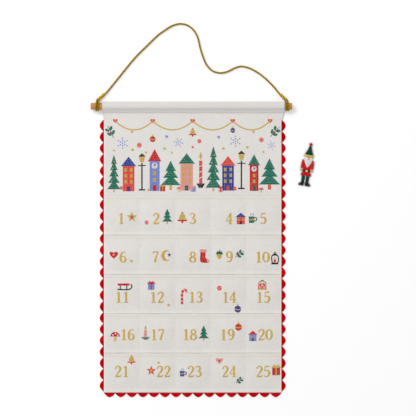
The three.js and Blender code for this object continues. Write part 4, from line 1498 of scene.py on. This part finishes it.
# Header work: each motif with its colours, then its places, sizes and turns
header_work = {
    (slim_fir, "green", "gold"): [(-236, 222, 112), (62, 236, 134)],
    (town_house, "coral", "blue"): [(-192, 220, 104)],
    (town_house, "blue", "coral"): [(106, 222, 104)],
    (street_lamp, "black", "gold"): [(-152, 226, 112), (146, 232, 116)],
    (clock_tower, "periwinkle", "red"): [(-114, 232, 126)],
    (clock_tower, "red", "green"): [(184, 224, 110)],
    (fir, "green", "gold"): [(-66, 216, 88)],
    (fir, "green", "coral"): [(230, 220, 94)],
    (tall_candle, "coral", "white"): [(24, 232, 108)],
    (town_house, "pink", "green"): [(-18, 226, 112)],
    (gift, "red", "gold"): [(-90, 178, 22)],
    (gift, "periwinkle", "pink"): [(2, 176, 20)],
    (gift, "pink", "red"): [(84, 174, 18)],
    (toadstool, "coral", "cream"): [(-40, 174, 20)],
    (toadstool, "red", "cream"): [(205, 172, 18)],
    (ball, "pink", "coral"): [(-214, 178, 13), (-160, 306, 18), (206, 322, 17)],
    (ball, "coral", "pink"): [(126, 176, 13), (20, 318, 13)],
    (snow_burst, "periwinkle", "periwinkle"): [
        (-210, 312, 34), (-42, 314, 28, 20), (128, 318, 34), (236, 306, 26, 10),
    ],
    (twig, "green", "red"): [(-246, 346, 38, 80), (246, 346, 38, 10)],
    (bauble, "red", "gold"): [(-120, 326, 24)],
    (bauble, "blue", "gold"): [(120, 352, 20)],
    (bell, "gold", "red"): [(0, 344, 26)],
    (small_star, "gold", "gold"): [
        (-132, 172, 11), (-180, 292, 12, 10), (-140, 284, 10), (-84, 296, 12, 20), (-62, 284, 9),
        (92, 296, 12, 15), (164, 300, 11), (212, 286, 10, 5), (-236, 290, 9), (182, 346, 11),
        (-182, 346, 11),
    ],
    (small_star, "coral", "coral"): [(0, 300, 10)],
    (small_star, "periwinkle", "periwinkle"): [(78, 330, 12), (-78, 332, 12)],
}
swag_points = [-232, -120, 0, 120, 232]
swag_top = 378
swag_sag = 26
swag_samples = 9
swag_half_width = 2
swag_heart_rise = 1
swag_heart_size = 17


def make_header_work():
    n = Needle(header_thread, header_stitch_length)
    for (motif, main, second), places in header_work.items():
        for place in places:
            motif(n.at(*place), main, second)
    share = np.linspace(0, 1, swag_samples)
    for left, right in zip(swag_points, swag_points[1:]):
        sag = 4 * swag_sag * share * (1 - share)
        n.column("gold", np.stack([left + (right - left) * share, swag_top - sag], 1), swag_half_width)
    for x in swag_points:
        heart(n.at(x, swag_top + swag_heart_rise, swag_heart_size), "coral", "gold")
    n.sewn("header_stitches", "calendar")


def make_topstitching():
    """Machine stitching of the edges, mouths, feet, pocket lines and the seam under the sleeve."""
    n = Needle(seam_thread)
    inside = half_width - edge_stitch_in
    top = seam_y - seam_stitch_in
    for x in (-inside, inside):
        n.run("natural", (x, bottom_y + foot_stitch_rise), (x, top))
    for low, high in strip_boxes:
        foot = low[1] + foot_stitch_in
        for y in (high[1] - mouth_hem, foot):
            n.run("natural", (-inside, y), (inside, y))
        for k in range(1, pocket_count):
            x = -half_width + strip_margin + k * pocket_pitch - stitch_width / 2
            n.run("natural", (x, foot), (x, high[1] - mouth_stitch_in))
    n.run("natural", (-inside, top), (inside, top))
    n.sewn("topstitching", "calendar", seam_radius_share, seam_crown)


make_pocket_work()
make_header_work()
make_topstitching()


# Marker, in its own tilted frame
marker_place = (344.4, 248.9)
marker_tilt_degrees = -9.5
marker_tilt = math.radians(marker_tilt_degrees)
marker_thread = 0.7
marker_stitch_length = 2.6
marker_crown = 0.2
marker_half_width = 18
marker_height = 130
felt_thickness = 1.5
felt_ease = 0.35
felt_ease_share = 0.985
felt_corners = 160
pad_corners = 72
round_corners = 36
round_lean = 60
outline_samples = 400
cover_thickness = 0.5
round_cover_thickness = 0.4
pillow_rings = 9
pillow_start_share = 0.12
pillow_top_share = 0.02
pillow_spread_power = 0.55
pillow_rise_power = 0.8
marker_shares = {
    "hat": [(0, 0.426), (0.15, 0.42), (0.34, 0.34), (0.55, 0.27), (0.68, 0.235), (0.6, 0.226), (0, 0.222)],
    "hat_band": [(0, 0.217), (0.6, 0.219), (0.76, 0.213), (0.78, 0.187), (0.68, 0.171), (0, 0.166)],
    "beard": [(0, 0.161), (0.6, 0.164), (0.68, 0.12), (0.6, 0.045), (0.42, -0.03), (0.16, -0.092),
              (0, -0.105)],
    "coat": [(0, 0.1), (0.5, 0.1), (0.62, 0.05), (0.64, -0.04), (0.62, -0.128), (0.5, -0.134), (0, -0.134)],
    "belt": [(0, -0.139), (0.6, -0.14), (0.64, -0.158), (0.6, -0.176), (0, -0.177)],
    "coat_skirt": [(0, -0.182), (0.56, -0.181), (0.72, -0.2), (0.88, -0.245), (0.84, -0.262), (0.4, -0.27),
                   (0, -0.266)],
    "sleeve": [(0.74, 0.092), (0.92, 0.09), (1.02, 0.05), (1.06, -0.04), (1.04, -0.098), (0.9, -0.104),
               (0.72, -0.1), (0.69, -0.04), (0.69, 0.04)],
    "mitten": [(0.88, -0.111), (1.04, -0.122), (1.06, -0.146), (0.94, -0.168), (0.76, -0.164),
               (0.69, -0.142), (0.72, -0.119)],
    "leg": [(0.12, -0.275), (0.38, -0.278), (0.64, -0.273), (0.64, -0.33), (0.6, -0.384), (0.38, -0.388),
            (0.14, -0.384), (0.1, -0.33)],
    "boot": [(0.14, -0.391), (0.38, -0.394), (0.6, -0.391), (0.64, -0.43), (0.92, -0.462), (1.0, -0.486),
             (0.86, -0.498), (0.4, -0.5), (0.14, -0.496), (0.1, -0.44)],
    "felt_back": [(0, 0.516), (0.28, 0.507), (0.42, 0.475), (0.36, 0.43), (0.5, 0.36), (0.72, 0.28),
                  (0.92, 0.235), (0.94, 0.18), (0.84, 0.15), (0.84, 0.112), (1.02, 0.107), (1.16, 0.06),
                  (1.2, -0.04), (1.2, -0.15), (1.04, -0.183), (0.96, -0.2), (1.03, -0.262), (0.8, -0.29),
                  (0.78, -0.41), (1.08, -0.455), (1.16, -0.5), (0.9, -0.516), (0, -0.518)],
}
paired_parts = ("sleeve", "mitten", "leg", "boot")
# Each padded part: its height, its thread and the lean of its stitches
marker_parts = {
    "coat": (6.5, "red", 0), "beard": (8, "white", 84), "hat": (7.5, "pine", 0),
    "hat_band": (8.5, "gold", 90), "belt": (6, "black", 90), "coat_skirt": (7, "red", 0),
    "sleeve": (7.5, "red", 0), "mitten": (7, "gold", 0), "leg": (6, "pine", 0), "boot": (6.5, "black", 0),
}
marker_rounds = {"pompom": (4.4, 0.462, 8, "red"), "nose": (4.0, 0.122, 10, "skin")}


def turned(points):
    """Marker points in the row frame, their heights kept."""
    points = np.asarray(points, float)
    c, s = math.cos(marker_tilt), math.sin(marker_tilt)
    x = marker_place[0] + points[..., 0] * c - points[..., 1] * s
    y = marker_place[1] + points[..., 0] * s + points[..., 1] * c
    return np.stack([x, y, *np.moveaxis(points[..., 2:], -1, 0)], -1)


def area_of(ring):
    """Area within a closed outline, below 0 where it runs clockwise."""
    x, y = ring.T
    return np.sum(x * np.roll(y, -1) - np.roll(x, -1) * y) / 2


def marker_outline(part, side, corners):
    """A smooth outline: a right half and its mirror image at side 0, else one side's whole shape."""
    knots = np.array(marker_shares[part]) * (marker_half_width, marker_height)
    knots = knots * (side, 1) if side else np.vstack([knots, knots[-2:0:-1] * (-1, 1)])
    ring = centripetal(np.vstack([knots[-2:], knots, knots[:2]]), outline_samples)
    ring = evenly(closed_part(ring, knots[0]), corners + 1)[:-1]
    return ring if area_of(ring) > 0 else ring[::-1]


def closed_part(line, knot):
    """The stretch of an overlapping line between its two passes of one knot."""
    near = np.linalg.norm(line - knot, axis=1)
    half = len(line) // 2
    first, last = int(near[:half].argmin()), half + int(near[half:].argmin())
    return np.vstack([line[first:last], line[first:first + 1]])


def pillow(name, ring, height, material, node, slot):
    """A padded form: flat below, full sides and a soft crown."""
    middle = ring.mean(0)
    angles = np.linspace(pillow_start_share, 1, pillow_rings) * math.pi / 2
    spreads = [1, *np.cos(angles[:-1]) ** pillow_spread_power, pillow_top_share]
    rises = felt_thickness + height * np.insert(np.sin(angles) ** pillow_rise_power, 0, 0)
    points = [
        np.column_stack([middle + (ring - middle) * spread, np.full(len(ring), rise)])
        for spread, rise in zip(spreads, rises)
    ]
    pad = mesh_piece(name, turned(np.vstack(points)), closed_tube(len(points), len(ring)), material)
    carry(pad, "marker", slot, node)


def pillow_height(ring, height):
    """Height of a pillow over places in the row frame."""
    middle = ring.mean(0)
    c, s = math.cos(marker_tilt), math.sin(marker_tilt)
    angles = np.arctan2(ring[:, 1] - middle[1], ring[:, 0] - middle[0])
    order = np.argsort(angles)
    reach = np.linalg.norm(ring - middle, axis=1)

    def at(x, y):
        own = (np.stack([x - marker_place[0], y - marker_place[1]], -1) @ [(c, -s), (s, c)]) - middle
        around = np.arctan2(own[..., 1], own[..., 0])
        edge = np.interp(around, angles[order], reach[order], period=2 * math.pi)
        spread = np.clip(np.linalg.norm(own, axis=-1) / edge, 0, 1)
        cosine = spread ** (1 / pillow_spread_power)
        sine = np.sqrt(np.clip(1 - cosine**2, 0, 1))
        return felt_thickness + height * sine ** pillow_rise_power

    return at


def cover(needle, ring, height, shade, lean):
    """Short satin stitches all over a pad."""
    own = copy.copy(needle)
    own.height = pillow_height(ring, height)
    own.fill(shade, ring, lean)


def make_felt_back():
    ring = marker_outline("felt_back", 0, felt_corners)
    inner = ring.mean(0) + (ring - ring.mean(0)) * felt_ease_share
    upper = felt_thickness - felt_ease
    levels = [(inner, 0), (ring, felt_ease), (ring, upper), (inner, felt_thickness)]
    points = np.vstack([np.column_stack([line, np.full(felt_corners, z)]) for line, z in levels])
    felt = mesh_piece("felt_back", turned(points), closed_tube(len(levels), felt_corners), white_felt)
    carry(felt, "marker", "white_felt", "marker_felt_back")


def make_marker():
    make_felt_back()
    needle = Needle(marker_thread, marker_stitch_length).at(*marker_place, 1, marker_tilt_degrees)
    for part, (height, shade, lean) in marker_parts.items():
        slot = "white_felt" if shade == "white" else thread_slots[shade]
        sides = {"_left": -1, "_right": 1} if part in paired_parts else {"": 0}
        for suffix, side in sides.items():
            ring = marker_outline(part, side, pad_corners)
            padded = height - cover_thickness
            pillow(f"padded_{part}{suffix}", ring, padded, threads[shade], f"marker_{part}{suffix}", slot)
            cover(needle, ring, padded, shade, lean)
    for part, (radius, share, height, shade) in marker_rounds.items():
        ring = disc(0, share * marker_height, radius, count=round_corners)
        padded = height - round_cover_thickness
        pillow(f"padded_{part}", ring, padded, threads[shade], f"marker_{part}", thread_slots[shade])
        cover(needle, ring, padded, shade, round_lean)
    needle.sewn("marker_stitches", "marker", crown=marker_crown)
    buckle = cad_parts["marker_buckle"]
    buckle.data.materials.clear()
    buckle.data.materials.append(threads["gold"])


make_marker()


# Floor and light
floor_half_side = 4000
floor_drop = 0.5
floor_lift = 0.225
floor_grey = (0.8, 0.8, 0.8, 1)
world_strength = 0.66
key_place = (-2400, 2500, 4600)
key_aim = (0, 0, 0)
key_size = 2000
key_power = 138


def make_stage():
    """A white sheet under the object, just white where nothing shades it, and white all round."""
    made = Finish("floor", roughness=0.9)
    made.put("Base Color", floor_grey)
    made.put("Emission Color", made.seen_rays())
    made.put("Emission Strength", floor_lift)
    corners = [(x, y, -floor_drop) for x, y in block(0, 0, floor_half_side, floor_half_side)]
    mesh_piece("floor", corners, [[0, 1, 2, 3]], made.material)
    world = bpy.data.worlds.new("studio")
    world.use_nodes = True
    sky = Nodes(world.node_tree)
    background = sky.tree.nodes["Background"]
    background.inputs["Color"].default_value = (1, 1, 1, 1)
    sky.join(background.inputs["Strength"], sky.seen_rays() * (1 - world_strength) + world_strength)
    SCENE.world = world


def make_key_lamp():
    data = bpy.data.lights.new("key", "AREA")
    data.size = key_size * MM
    data.energy = key_power
    lamp = bpy.data.objects.new("key", data)
    SCENE.collection.objects.link(lamp)
    lamp.location = Vector(key_place) * MM
    lamp.rotation_euler = (Vector(key_aim) - Vector(key_place)).to_track_quat("-Z", "Y").to_euler()


make_stage()
make_key_lamp()
SCENE.view_settings.view_transform = "Standard"
